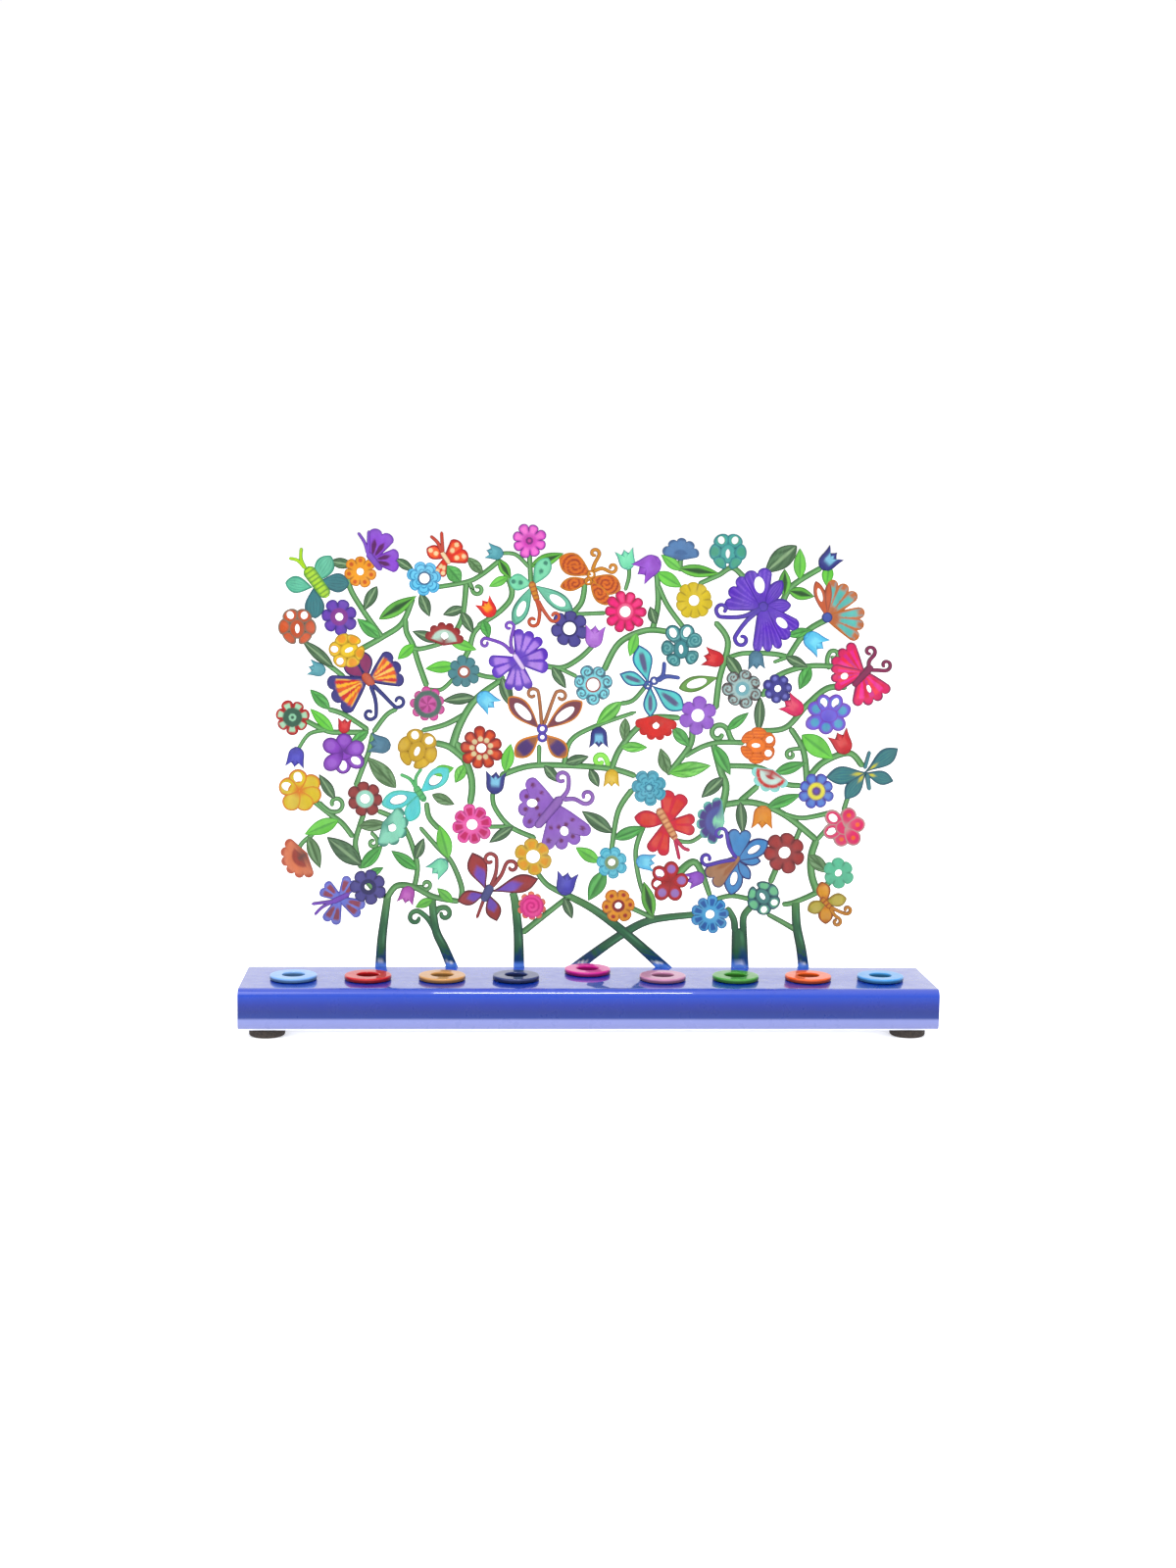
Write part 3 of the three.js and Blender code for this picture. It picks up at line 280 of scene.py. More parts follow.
def trunk_colour(h, across):
    """The stems darken towards the base, with a band of painted navy reflection low down.

    A painted highlight streaks up them, a painted white glint sits just above their feet, and the feet share
    the base's blue lacquer.
    """
    lighter = smooth(PINE_TOP, PINE_TOP + PINE_FADE, h)
    middle = mix(PINE, STEM, lighter)
    edge = mix(PINE_EDGE, STEM_EDGE, lighter)
    colour = mix(middle, edge, smooth(0.45, 0.95, abs(across)))
    # painted highlight: a streak up the stem, a little off its middle
    streak = (1 - smooth(0.12, 0.34, abs(across - 0.3))) * (0.5 + 0.5 * math.sin(0.55 * h + across))
    colour = mix(colour, PINE_HIGHLIGHT, 0.6 * streak * smooth(7, 13, h))
    # painted reflection: a wavy navy band low on the stem
    patch = 2.2 * math.sin(2.1 * h + 3 * across)
    colour = mix(NAVY_REFLECTION, colour, smooth(NAVY_LINE - 2.5, NAVY_LINE + 3, h + patch))
    # painted highlight: a white glint just above the foot line
    glint_colour = mix(PAINTED_GLINT, colour, smooth(0.35, 0.7, abs(across + 0.1)))
    colour = mix(glint_colour, colour, smooth(FOOT_LINE + 0.3, FOOT_LINE + 1.1, h))
    return mix(BASE_BLUE, colour, smooth(FOOT_LINE - 0.5, FOOT_LINE, h))


BODY_STRIPES = {     # the stripes' colour, and their pitch in mm
    "lime_body": (rgb(56, 104, 44), 2.1),
    "green_body": (rgb(60, 130, 80), 2.2),
    "tan_body": (rgb(150, 70, 50), 2.4),
    "amber_body": (rgb(150, 60, 40), 2.0),
    "brown_body": (rgb(96, 48, 50), 1.6),
}


def draw_in_ends(line):
    """The line with its ends drawn in, so that the ribbon's end faces have an area."""
    return [mix(line[0], line[1], 0.7), *line[1:-1], mix(line[-1], line[-2], 0.7)]


def steps_between(points, paint):
    """Steps between a line's points: few in a spiral, which has many points, and many under stripes."""
    if len(points) > 8:
        return 4
    if len(points) > 2:
        return 7
    return 30 if paint in BODY_STRIPES else 8


def vine(paint, start_width, end_width, points):
    """A ribbon with round ends along a smooth line: stems at the back, bodies and feelers in front."""
    line = spline(points, steps_between(points, paint))
    lengths = [0.0]
    for a, b in zip(line, line[1:]):
        lengths.append(lengths[-1] + math.dist(a, b))
    total = lengths[-1]
    left = []
    right = []
    spine = []
    for number, (x, h) in enumerate(line):
        ahead = line[min(number + 1, len(line) - 1)]
        behind = line[max(number - 1, 0)]
        span = math.dist(ahead, behind) or 1
        along = ((ahead[0] - behind[0]) / span, (ahead[1] - behind[1]) / span)
        half = (start_width + (end_width - start_width) * lengths[number] / total) / 2
        near_end = min(lengths[number], total - lengths[number])
        if near_end < half:
            half = max(0.35 * half, math.sqrt(half ** 2 - (half - near_end) ** 2))
        left.append((x - along[1] * half, h + along[0] * half))
        right.append((x + along[1] * half, h - along[0] * half))
        spine.append((x, h))
    outline = right + left[::-1]
    count = len(line)
    spine = draw_in_ends(spine)

    def colour(number, inward, depth, place):
        across = (1 - inward) * (1 if number < count else -1)
        if paint == "trunk":
            return trunk_colour(place[1], across)
        if paint == "stem":
            # a painted highlight runs along each stem, a little off its middle, with darker edges either side
            green = mix(STEM_HIGHLIGHT, STEM, smooth(0.1, 0.5, abs(across - 0.15)))
            return mix(green, STEM_EDGE, smooth(0.45, 0.95, abs(across)))
        body, rim = LINE_PAINT[paint]
        if paint in BODY_STRIPES and start_width > 2.4:
            stripe, pitch = BODY_STRIPES[paint]
            along = lengths[min(number, 2 * count - 1 - number)]
            body = mix(body, stripe, 0.8 * smooth(0.2, 0.8, math.sin(2 * math.pi * along / pitch)))
        return mix(body, rim, smooth(0.45, 0.95, abs(across)))

    sheet = stem_sheet if paint in ("trunk", "stem", "lime") else body_sheet
    sheet.slab(outline, spine + spine[::-1], colour, rings=4)


def curl(paint, start_width, end_width, points, x, h, radius, sense):
    """A vine that ends in a spiral round x, h: anticlockwise where its sense is 1, clockwise where -1."""
    last_x, last_h = points[-1]
    away = math.hypot(last_x - x, last_h - h)
    turn = math.atan2(last_h - h, last_x - x) + sense * math.acos(min(1.0, radius / away))
    winding = []
    for step in range(9):
        reach = radius * (1 - 0.083 * step)
        winding.append((x + reach * math.cos(turn), h + reach * math.sin(turn)))
        turn += 0.74 * sense
    vine(paint, start_width, end_width, [*points, *winding])


def foot(width, top_width, points):
    """A stem that rises from the base: cut square where it stands, with the first point on the base."""
    line = spline(points, 7)
    shares = [number / (len(line) - 1) for number in range(len(line))]
    left = []
    right = []
    for number, ((x, h), share) in enumerate(zip(line, shares)):
        ahead = line[min(number + 1, len(line) - 1)]
        behind = line[max(number - 1, 0)]
        span = math.dist(ahead, behind)
        half = (width + (top_width - width) * share) / 2
        side = ((ahead[1] - behind[1]) / span * half, (behind[0] - ahead[0]) / span * half)
        if number == 0:
            side = (half * span / (ahead[1] - behind[1]), 0)
        right.append((x + side[0], h + side[1]))
        left.append((x - side[0], h - side[1]))
    outline = right + left[::-1]
    count = len(line)
    spine = draw_in_ends(line)

    def colour(number, inward, depth, place):
        return trunk_colour(place[1], (1 - inward) * (1 if number < count else -1))

    stem_sheet.slab(outline, spine + spine[::-1], colour, rings=4)


def disc(paint, x, h, radius, hole_radius=0):
    """A round bead of a body, with or without a hole."""
    body, rim = LINE_PAINT[paint]
    opening = (hole_radius, hole_radius, 0) if hole_radius else None

    def colour(number, inward, depth, place):
        return mix(rim, body, smooth(0.2, 0.6, depth))

    body_sheet.cut_out(oval(x, h, radius, radius, 0, 28), (x, h), colour, 4, opening)


# ---------------------------------------------------------------- leaves and wings

def blade(x, h, tip_x, tip_h, width, fullness, roundness, steps=16):
    """Outline and spine of a blade from root to tip, widest after "fullness" of its length.

    Also gives each point's share of the length, and its side of the spine.
    """
    length = math.hypot(tip_x - x, tip_h - h)
    along = ((tip_x - x) / length, (tip_h - h) / length)
    power = math.log(0.5) / math.log(fullness)
    shares = [(1 - math.cos(math.pi * k / steps)) / 2 for k in range(steps + 1)]

    def place(t, side):
        across = side * width / 2 * max(0.0, math.sin(math.pi * t ** power)) ** roundness
        return (x + along[0] * length * t - along[1] * across, h + along[1] * length * t + along[0] * across)

    sides = [(t, -1) for t in shares] + [(t, 1) for t in shares[-2:0:-1]]
    outline = [place(t, side) for t, side in sides]
    spine = [place(0.05 + 0.88 * t, 0) for t, side in sides]
    return outline, spine, sides


LEAF_PAINT = {
    "bright": dict(base=rgb(112, 196, 82), edge=rgb(78, 160, 58), rib=rgb(80, 156, 66)),
    "mid": dict(base=rgb(96, 176, 92), edge=rgb(54, 116, 56), rib=rgb(56, 122, 58), veins=rgb(66, 140, 66)),
    "deep": dict(base=rgb(84, 118, 84), edge=rgb(40, 70, 44), rib=rgb(130, 160, 120), veins=rgb(52, 84, 54)),
    "veined": dict(base=rgb(112, 148, 104), edge=rgb(62, 96, 52), rib=rgb(60, 94, 52),
                   veins=rgb(66, 102, 58)),
    "striped": dict(base=rgb(128, 206, 98), edge=rgb(70, 140, 58), rib=rgb(70, 140, 58),
                    veins=rgb(84, 160, 66)),
    "twotone": dict(base=rgb(104, 180, 74), edge=rgb(62, 120, 52), rib=rgb(30, 70, 30),
                    heart=rgb(40, 88, 38)),
}


def leaf(paint, x, h, tip_x, tip_h, width):
    """A leaf from its root to its tip, with a midrib, and with veins or a dark heart in some paints."""
    style = LEAF_PAINT[paint]
    outline, spine, sides = blade(x, h, tip_x, tip_h, width, 0.45, 0.9)
    vein_count = math.hypot(tip_x - x, tip_h - h) / 1.5

    def colour(number, inward, depth, place):
        t, side = sides[number]
        across = 1 - inward
        result = mix(style["base"], style["edge"], 0.18 + 0.18 * side)
        if "veins" in style:
            stripe = math.sin(2 * math.pi * (vein_count * t - 1.3 * across + 0.15 * side))
            result = mix(result, style["veins"], 0.85 * smooth(0.1, 0.7, stripe))
        if "heart" in style:
            result = mix(style["heart"], result, smooth(0.34, 0.52, across + 0.5 * abs(t - 0.5)))
        result = mix(style["rib"], result, smooth(0.08, 0.2, across))
        return mix(style["edge"], result, smooth(0.15, 0.75, depth))

    leaf_sheet.slab(outline, spine, colour, rings=8)


WING_PAINT = {
    "lime_mint": dict(base=rgb(98, 182, 150), edge=rgb(58, 140, 116), lines=rgb(60, 134, 118)),
    "teal_wing": dict(base=rgb(56, 116, 122), edge=rgb(42, 92, 104), lines=rgb(36, 82, 92)),
    "violet_wing": dict(base=rgb(96, 64, 178), edge=rgb(84, 48, 164), patch=rgb(166, 126, 214)),
    "violet_dark": dict(base=rgb(134, 82, 192), edge=rgb(104, 56, 160), heart=rgb(80, 22, 86)),
    "navy_orange": dict(base=rgb(58, 54, 122), edge=rgb(38, 34, 96), ray_count=9,
                        rays=[rgb(238, 190, 96), rgb(196, 58, 52), rgb(240, 176, 70), rgb(214, 92, 44)]),
    "navy_plum": dict(base=rgb(128, 44, 92), edge=rgb(46, 40, 96)),
    "turquoise": dict(base=rgb(92, 196, 200), edge=rgb(84, 184, 168), rim=rgb(44, 104, 122),
                      lines=rgb(110, 210, 190)),
    "lilac_blue": dict(base=rgb(112, 122, 204), edge=rgb(92, 92, 178), patch=rgb(136, 62, 84)),
    "red_wing": dict(base=rgb(204, 50, 40), edge=rgb(158, 30, 26), patch=rgb(222, 96, 62),
                     spots=rgb(226, 196, 150)),
    "mint_wing": dict(base=rgb(118, 200, 160), edge=rgb(84, 164, 134), spots=rgb(56, 120, 100)),
    "mint_loop": dict(base=rgb(104, 182, 152), edge=rgb(58, 118, 100), lines=rgb(56, 106, 96)),
    "orange_spiral": dict(base=rgb(206, 106, 44), edge=rgb(188, 118, 44), spiral=rgb(138, 42, 24)),
    "brown_loop": dict(base=rgb(116, 60, 70), edge=rgb(206, 128, 54), rim=rgb(96, 44, 70)),
    "brown_wing": dict(base=rgb(142, 88, 60), edge=rgb(206, 128, 54), patch=rgb(70, 44, 104)),
    "purple_spots": dict(base=rgb(138, 96, 182), edge=rgb(122, 82, 166), spots=rgb(96, 30, 84)),
    "maroon_wing": dict(base=rgb(150, 56, 56), edge=rgb(92, 18, 32), heart=rgb(112, 78, 176), pointed=True),
    "blue_star": dict(base=rgb(92, 190, 188), edge=rgb(30, 74, 132), patch=rgb(84, 86, 122), pointed=True),
    "crimson_wing": dict(base=rgb(196, 42, 62), edge=rgb(166, 26, 50), patch=rgb(206, 74, 66)),
    "blue_brown": dict(base=rgb(78, 136, 190), edge=rgb(44, 44, 104), rim=rgb(40, 74, 136)),
    "brown_blue": dict(base=rgb(158, 116, 86), edge=rgb(50, 48, 106), heart=rgb(150, 96, 64)),
    "indigo_wing": dict(base=rgb(90, 58, 174), edge=rgb(66, 38, 146), lines=rgb(136, 98, 206)),
    "orange_teal": dict(base=rgb(178, 106, 70), edge=rgb(178, 102, 48), patch=rgb(88, 176, 166),
                        lines=rgb(104, 156, 164)),
    "rust_grey": dict(base=rgb(186, 90, 56), edge=rgb(150, 74, 54)),
    "magenta_wing": dict(base=rgb(206, 44, 96), edge=rgb(112, 24, 74), ray_count=7,
                         rays=[rgb(226, 60, 80), rgb(222, 56, 140), rgb(206, 38, 70), rgb(196, 50, 130)]),
    "teal_star": dict(base=rgb(50, 108, 118), edge=rgb(34, 84, 100), heart=rgb(196, 190, 66),
                      heart_end=0.34, lines=rgb(72, 140, 120), pointed=True),
    "orange_green": dict(base=rgb(196, 116, 34), edge=rgb(150, 78, 24), patch=rgb(212, 150, 60)),
    "olive_loop": dict(base=rgb(100, 150, 72), edge=rgb(76, 112, 46), rim=rgb(80, 118, 50)),
    "green_orange": dict(base=rgb(164, 154, 52), edge=rgb(150, 124, 44), patch=rgb(184, 168, 74)),
}


def spiral_line(from_centre, angle, pitch):
    """How near a point is to a painted spiral, from 0 to 1."""
    turn = from_centre / pitch - angle / (2 * math.pi)
    return 1 - smooth(0.14, 0.26, abs((turn % 1) - 0.5))


def wing_colour(style, along, across, width, length, lobes, depth, near_opening):
    """Paint on a wing: "along" runs from 0 at its root to 1 at its tip, and "across" from -1 to 1."""
    phase = ((across + 1) / 2 * lobes) % 1
    middle = math.sin(math.pi * phase)
    aside = (phase - 0.5) * width / lobes
    result = style["base"]
    if "rays" in style:
        ray = (across + 1) / 2 * style["ray_count"]
        inside = smooth(0.1, 0.18, along) * (1 - smooth(0.76, 0.8, along))
        inside *= 1 - smooth(0.8, 0.88, abs(across))
        line = style["rays"][int(ray) % len(style["rays"])]
        result = mix(result, line, inside * (0.55 + 0.45 * smooth(0.0, 0.35, math.sin(math.pi * (ray % 1)))))
    if "patch" in style:
        narrow = 0.82 if "pointed" in style else 0.4
        inside = smooth(narrow, narrow + 0.14, middle) * smooth(0.3, 0.42, along)
        inside *= 1 - smooth(0.76, 0.86, along)
        result = mix(result, style["patch"], inside)
    if "heart" in style:
        end = style.get("heart_end", 0.6)
        reach = along + 0.5 * abs(phase - 0.5)
        inside = smooth(0.3, 0.6, middle) * smooth(0.1, 0.2, along) * (1 - smooth(end, end + 0.14, reach))
        result = mix(result, style["heart"], inside)
    if "lines" in style:
        stripe = math.cos(6 * math.pi * across + 3 * along)
        result = mix(result, style["lines"], 0.6 * smooth(0.45, 0.95, stripe) * smooth(0.2, 0.45, along))
    if "spiral" in style:
        inward = (along - 0.52) * length
        line = spiral_line(math.hypot(inward, aside), math.atan2(aside, inward), 2.1)
        result = mix(result, style["spiral"], 0.9 * line)
    if "spots" in style:
        for place in (0.5, 0.8):
            spot = math.hypot((along - place) * length, aside)
            result = mix(style["spots"], result, smooth(0.8, 1.3, spot))
    if near_opening is not None and "rim" in style:
        result = mix(style["rim"], result, smooth(0.35, 0.7, near_opening))
    return mix(style["edge"], result, smooth(0.45, 1.1, depth))


def wing(paint, x, h, tip_x, tip_h, width, opening=None, fullness=0.62):
    """A drop-shaped wing. Its opening, if it has one, is (place along the wing, long half, short half)."""
    roundness = 1.0 if "pointed" in WING_PAINT[paint] else 0.7
    outline, spine, sides = blade(x, h, tip_x, tip_h, width, fullness, roundness, steps=24)
    length = math.hypot(tip_x - x, tip_h - h)
    aim = math.atan2(tip_h - h, tip_x - x)
    full = []
    for o in outline:
        aside = math.dist(o, (x, h)) * math.sin(math.atan2(o[1] - h, o[0] - x) - aim)
        full.append(max(0.3, 2 * abs(aside)))

    def colour(number, inward, depth, place):
        from_root = (place[0] - x, place[1] - h)
        along = (from_root[0] * math.cos(aim) + from_root[1] * math.sin(aim)) / length
        across = from_root[1] * math.cos(aim) - from_root[0] * math.sin(aim)
        near = (1 - inward) * math.dist(outline[number], middle) if opening else None
        share = 2 * across / max(full[number], abs(2 * across))
        return wing_colour(WING_PAINT[paint], along, share, full[number], length, 1, depth, near)

    if opening:
        place_along, long_half, short_half = opening
        middle = mix((x, h), (tip_x, tip_h), place_along)
        wing_sheet.cut_out(outline, middle, colour, 10, (long_half, short_half, aim))
    else:
        wing_sheet.slab(outline, spine, colour, rings=10)


def fan(paint, x, h, tip_x, tip_h, spread, lobes=2, opening=None):
    """A broad wing, spread over an angle in degrees, with a scalloped end. Its opening is as a wing's."""
    reach = math.hypot(tip_x - x, tip_h - h)
    aim = math.atan2(tip_h - h, tip_x - x)
    half = math.radians(spread) / 2
    notch = 0.87
    root_half = 1.0
    corner = (notch * reach * math.cos(half), notch * reach * math.sin(half))
    shares = [step / 9 for step in range(1, 9)]
    local = [(corner[0] * t, -root_half - (corner[1] - root_half) * t ** 0.85) for t in shares]
    steps = 9 * lobes
    for step in range(steps + 1):
        scallop = abs(math.sin(math.pi * lobes * step / steps)) ** 0.6
        radius = reach * (notch + (1 - notch) * scallop)
        turn = half * (2 * step / steps - 1)
        local.append((radius * math.cos(turn), radius * math.sin(turn)))
    local += [(a, -c) for a, c in local[len(shares) - 1::-1]]
    local += [(0, root_half), (-0.7, 0), (0, -root_half)]
    outline = [placed(x, h, a, c, aim) for a, c in local]
    share, long_half, short_half = opening or (0.5, 0, 0)
    middle = mix((x, h), (tip_x, tip_h), share)

    def colour(number, inward, depth, place):
        from_root = (place[0] - x, place[1] - h)
        a = from_root[0] * math.cos(aim) + from_root[1] * math.sin(aim)
        c = from_root[1] * math.cos(aim) - from_root[0] * math.sin(aim)
        across = max(-1.0, min(1.0, math.atan2(c, max(a, 0.1)) / half))
        near = (1 - inward) * math.dist(outline[number], middle) if opening else None
        away = math.hypot(a, c)
        width = 2 * half * away
        return wing_colour(WING_PAINT[paint], away / reach, across, width, reach, lobes, depth, near)

    wing_sheet.cut_out(outline, middle, colour, 11, (long_half, short_half, aim) if opening else None)


# ---------------------------------------------------------------- flowers

FLOWER_PAINT = {
    "sky": dict(base=rgb(112, 192, 224), edge=rgb(72, 150, 200), outlines=rgb(52, 120, 166),
                rings=[(0.38, rgb(60, 96, 132))]),
    "orchid_violet": dict(base=rgb(92, 62, 160), edge=rgb(62, 40, 130), patch=rgb(102, 66, 166),
                          rings=[(0.46, rgb(120, 52, 132))]),
    "orange_spots": dict(base=rgb(222, 148, 46), edge=rgb(190, 116, 40), dots=rgb(190, 84, 24)),
    "strawberry": dict(base=rgb(176, 46, 46), edge=rgb(156, 34, 38), patch=rgb(160, 206, 172), rings=[
        (0.54, rgb(44, 84, 66)), (0.2, rgb(140, 196, 160)), (0.1, rgb(44, 84, 66))]),
    "maroon": dict(base=rgb(130, 50, 50), edge=rgb(102, 32, 36), patch=rgb(140, 56, 54),
                   rings=[(0.47, rgb(150, 206, 186))]),
    "navy": dict(base=rgb(72, 66, 138), edge=rgb(40, 34, 96), patch=rgb(74, 70, 136),
                 rings=[(0.42, rgb(36, 34, 92))]),
    "purple": dict(base=rgb(206, 84, 184), edge=rgb(112, 30, 132), patch=rgb(226, 108, 196),
                   rings=[(0.34, rgb(196, 70, 170)), (0.2, rgb(110, 24, 112)), (0.1, rgb(196, 60, 150))]),
    "teal_grey": dict(base=rgb(72, 122, 130), edge=rgb(58, 104, 112), rings=[(0.36, rgb(150, 84, 70))]),
    "rose_ring": dict(base=rgb(204, 92, 156), edge=rgb(168, 60, 122), rings=[
        (0.76, rgb(70, 98, 90)), (0.48, rgb(186, 84, 150))], pinwheel=rgb(130, 40, 96)),
    "brick": dict(base=rgb(164, 48, 38), edge=rgb(116, 24, 24), patch=rgb(204, 86, 56),
                  inner_dots=rgb(206, 190, 146)),
    "carnation": dict(base=rgb(222, 98, 164), edge=rgb(196, 66, 138), patch=rgb(184, 24, 92)),
    "gold": dict(base=rgb(208, 172, 62), edge=rgb(190, 152, 56), patch=rgb(216, 148, 40)),
    "peony": dict(base=rgb(226, 124, 104), edge=rgb(214, 122, 92), rings=[
        (0.8, rgb(206, 60, 128)), (0.7, rgb(232, 84, 152))], swirl=rgb(190, 40, 110)),
    "aqua": dict(base=rgb(104, 190, 208), edge=rgb(66, 150, 178), outlines=rgb(72, 160, 186),
                 rings=[(0.42, rgb(122, 148, 104))]),
    "orange_dots": dict(base=rgb(224, 148, 48), edge=rgb(198, 116, 44), dots=rgb(160, 44, 34),
                        rings=[(0.36, rgb(134, 32, 32))]),
    "blue_petals": dict(base=rgb(88, 166, 212), edge=rgb(54, 122, 184), patch=rgb(36, 92, 162)),
    "teal_layers": dict(base=rgb(88, 166, 186), edge=rgb(60, 138, 160), outlines=rgb(44, 112, 138),
                        rings=[(0.24, rgb(44, 112, 138)), (0.13, rgb(120, 190, 204))]),
    "lavender": dict(base=rgb(144, 94, 192), edge=rgb(130, 80, 180), notch=0.62),
    "scrolls": dict(base=rgb(126, 206, 216), edge=rgb(62, 104, 126), scroll=rgb(60, 62, 88),
                    rings=[(0.42, rgb(126, 206, 216)), (0.37, rgb(150, 72, 66))]),
    "crimson": dict(base=rgb(202, 24, 92), edge=rgb(150, 8, 64), patch=rgb(226, 62, 124),
                    rings=[(0.36, rgb(220, 92, 132))]),
    "mustard": dict(base=rgb(200, 176, 46), edge=rgb(184, 160, 42), notch=0.84),
    "filigree": dict(base=rgb(150, 178, 176), edge=rgb(52, 44, 48), scroll=rgb(84, 40, 36),
                     rings=[(0.34, rgb(110, 160, 168))]),
    "indigo_side": dict(base=rgb(58, 56, 132), edge=rgb(40, 38, 110), dots=rgb(110, 112, 186)),
    "target": dict(base=rgb(84, 104, 186), edge=rgb(74, 54, 150), patch=rgb(96, 130, 200), rings=[
        (0.5, rgb(92, 76, 110)), (0.45, rgb(214, 206, 78)), (0.24, rgb(92, 58, 112)),
        (0.12, rgb(96, 76, 170))]),
    "maroon_big": dict(base=rgb(142, 54, 54), edge=rgb(110, 30, 36), patch=rgb(156, 56, 54)),
    "mint": dict(base=rgb(92, 180, 142), edge=rgb(84, 168, 132)),
}


def flower_colour(style, radius, petals):
    """A painter for a flower: it takes the share of the radius, the place within a petal, and the depth."""
    def colour(reach, phase, depth, angle):
        middle = math.sin(math.pi * phase)
        aside = (phase - 0.5) * 2 * math.pi / petals * reach * radius
        result = style["base"]
        if "patch" in style:
            inside = smooth(0.62, 0.8, middle) * smooth(0.38, 0.5, reach) * (1 - smooth(0.76, 0.86, reach))
            result = mix(result, style["patch"], inside)
        if "outlines" in style:
            result = mix(result, style["outlines"], 1 - smooth(0.15, 0.35, abs((depth % 2.1) - 1.5)))
        if "dots" in style:
            result = mix(style["dots"], result, smooth(0.8, 1.15, math.hypot((reach - 0.68) * radius, aside)))
        if "inner_dots" in style:
            spot = math.hypot((reach - 0.42) * radius, aside)
            result = mix(style["inner_dots"], result, smooth(1.0, 1.4, spot))
        if "scroll" in style:
            inward = (reach - 0.7) * radius
            line = spiral_line(math.hypot(inward, aside), math.atan2(aside, inward), 1.8)
            result = mix(result, style["scroll"], 0.95 * line * smooth(0.4, 0.5, reach))
        fold = (1 - smooth(0.16, 0.42, middle)) * smooth(0.38, 0.6, reach)
        result = mix(result, mix((0, 0, 0), style["edge"], 0.7), 0.9 * fold)
        result = mix(style["edge"], result, smooth(0.3, 0.95, depth))
        for limit, ring in style.get("rings", ()):
            result = mix(ring, result, smooth(limit - 0.03, limit + 0.03, reach))
        if "pinwheel" in style and reach < 0.44:
            result = mix(result, style["pinwheel"], 0.7 * smooth(-0.2, 0.5, math.sin(5 * angle + 4 * reach)))
        if "swirl" in style and reach < 0.66:
            result = mix(result, style["swirl"], 0.8 * spiral_line(reach * radius, angle, 2.2))
        return result
    return colour


def unevenness(x, h, number):
    """A steady share from -1 to 1 that makes each hand-cut petal a little different."""
    return math.sin(12.9 * x + 7.3 * h + 4.1 * number)


def flower(paint, x, h, radius, petals, hole_radius):
    """A flower seen from the front: rounded petals with narrow gaps, round an open or a painted middle."""
    per_petal = 14
    notch = FLOWER_PAINT[paint].get("notch", 0.69)
    painter = flower_colour(FLOWER_PAINT[paint], radius, petals)
    start = unevenness(x, h, 0)
    angles = []
    phases = []
    radii = []
    for petal in range(petals):
        longer = 1 - 0.04 * (1 + unevenness(x, h, petal))
        for step in range(per_petal):
            phase = (1 - math.cos(math.pi * step / per_petal)) / 2
            angles.append(start + 2 * math.pi * (petal + phase) / petals)
            phases.append(phase)
            radii.append(radius * (notch + (longer - notch) * math.sin(math.pi * phase) ** 0.42))
    outline = [(x + r * math.cos(a), h + r * math.sin(a)) for r, a in zip(radii, angles)]
    spine = [(x + hole_radius * math.cos(a), h + hole_radius * math.sin(a)) for a in angles]

    def colour(number, inward, depth, place):
        reach = (radii[number] + (hole_radius - radii[number]) * inward) / radius
        return painter(reach, phases[number], depth, angles[number])

    flower_sheet.slab(outline, spine, colour, rings=15, holed=hole_radius > 0)


ORCHID_PAINT = {
    "rust": dict(base=rgb(176, 80, 52), edge=rgb(118, 100, 84), patch=rgb(196, 92, 60)),
    "amethyst": dict(base=rgb(132, 74, 178), edge=rgb(92, 42, 132), patch=rgb(146, 92, 190)),
    "ochre": dict(base=rgb(190, 152, 38), edge=rgb(168, 132, 38), patch=rgb(198, 162, 50)),
    "teal": dict(base=rgb(54, 122, 128), edge=rgb(34, 88, 96), spiral=rgb(112, 176, 174)),
    "sea": dict(base=rgb(68, 152, 146), edge=rgb(48, 120, 124), patch=rgb(70, 150, 124)),
    "poppy": dict(base=rgb(176, 44, 46), edge=rgb(146, 30, 34), patch=rgb(150, 114, 180)),
    "teal_green": dict(base=rgb(72, 130, 126), edge=rgb(36, 76, 84), patch=rgb(112, 186, 138)),
    "bluebell": dict(base=rgb(108, 96, 200), edge=rgb(112, 72, 172), patch=rgb(84, 150, 184)),
    "pumpkin": dict(base=rgb(224, 116, 44), edge=rgb(196, 96, 36), stripes=rgb(186, 78, 24)),
    "dotted_pink": dict(base=rgb(212, 66, 108), edge=rgb(178, 142, 138), dots=rgb(230, 110, 70)),
    "sunny": dict(base=rgb(222, 188, 62), edge=rgb(176, 140, 40), patch=rgb(220, 146, 44)),
    "tangerine": dict(base=rgb(206, 178, 58), edge=rgb(200, 112, 34), patch=rgb(206, 180, 60)),
}


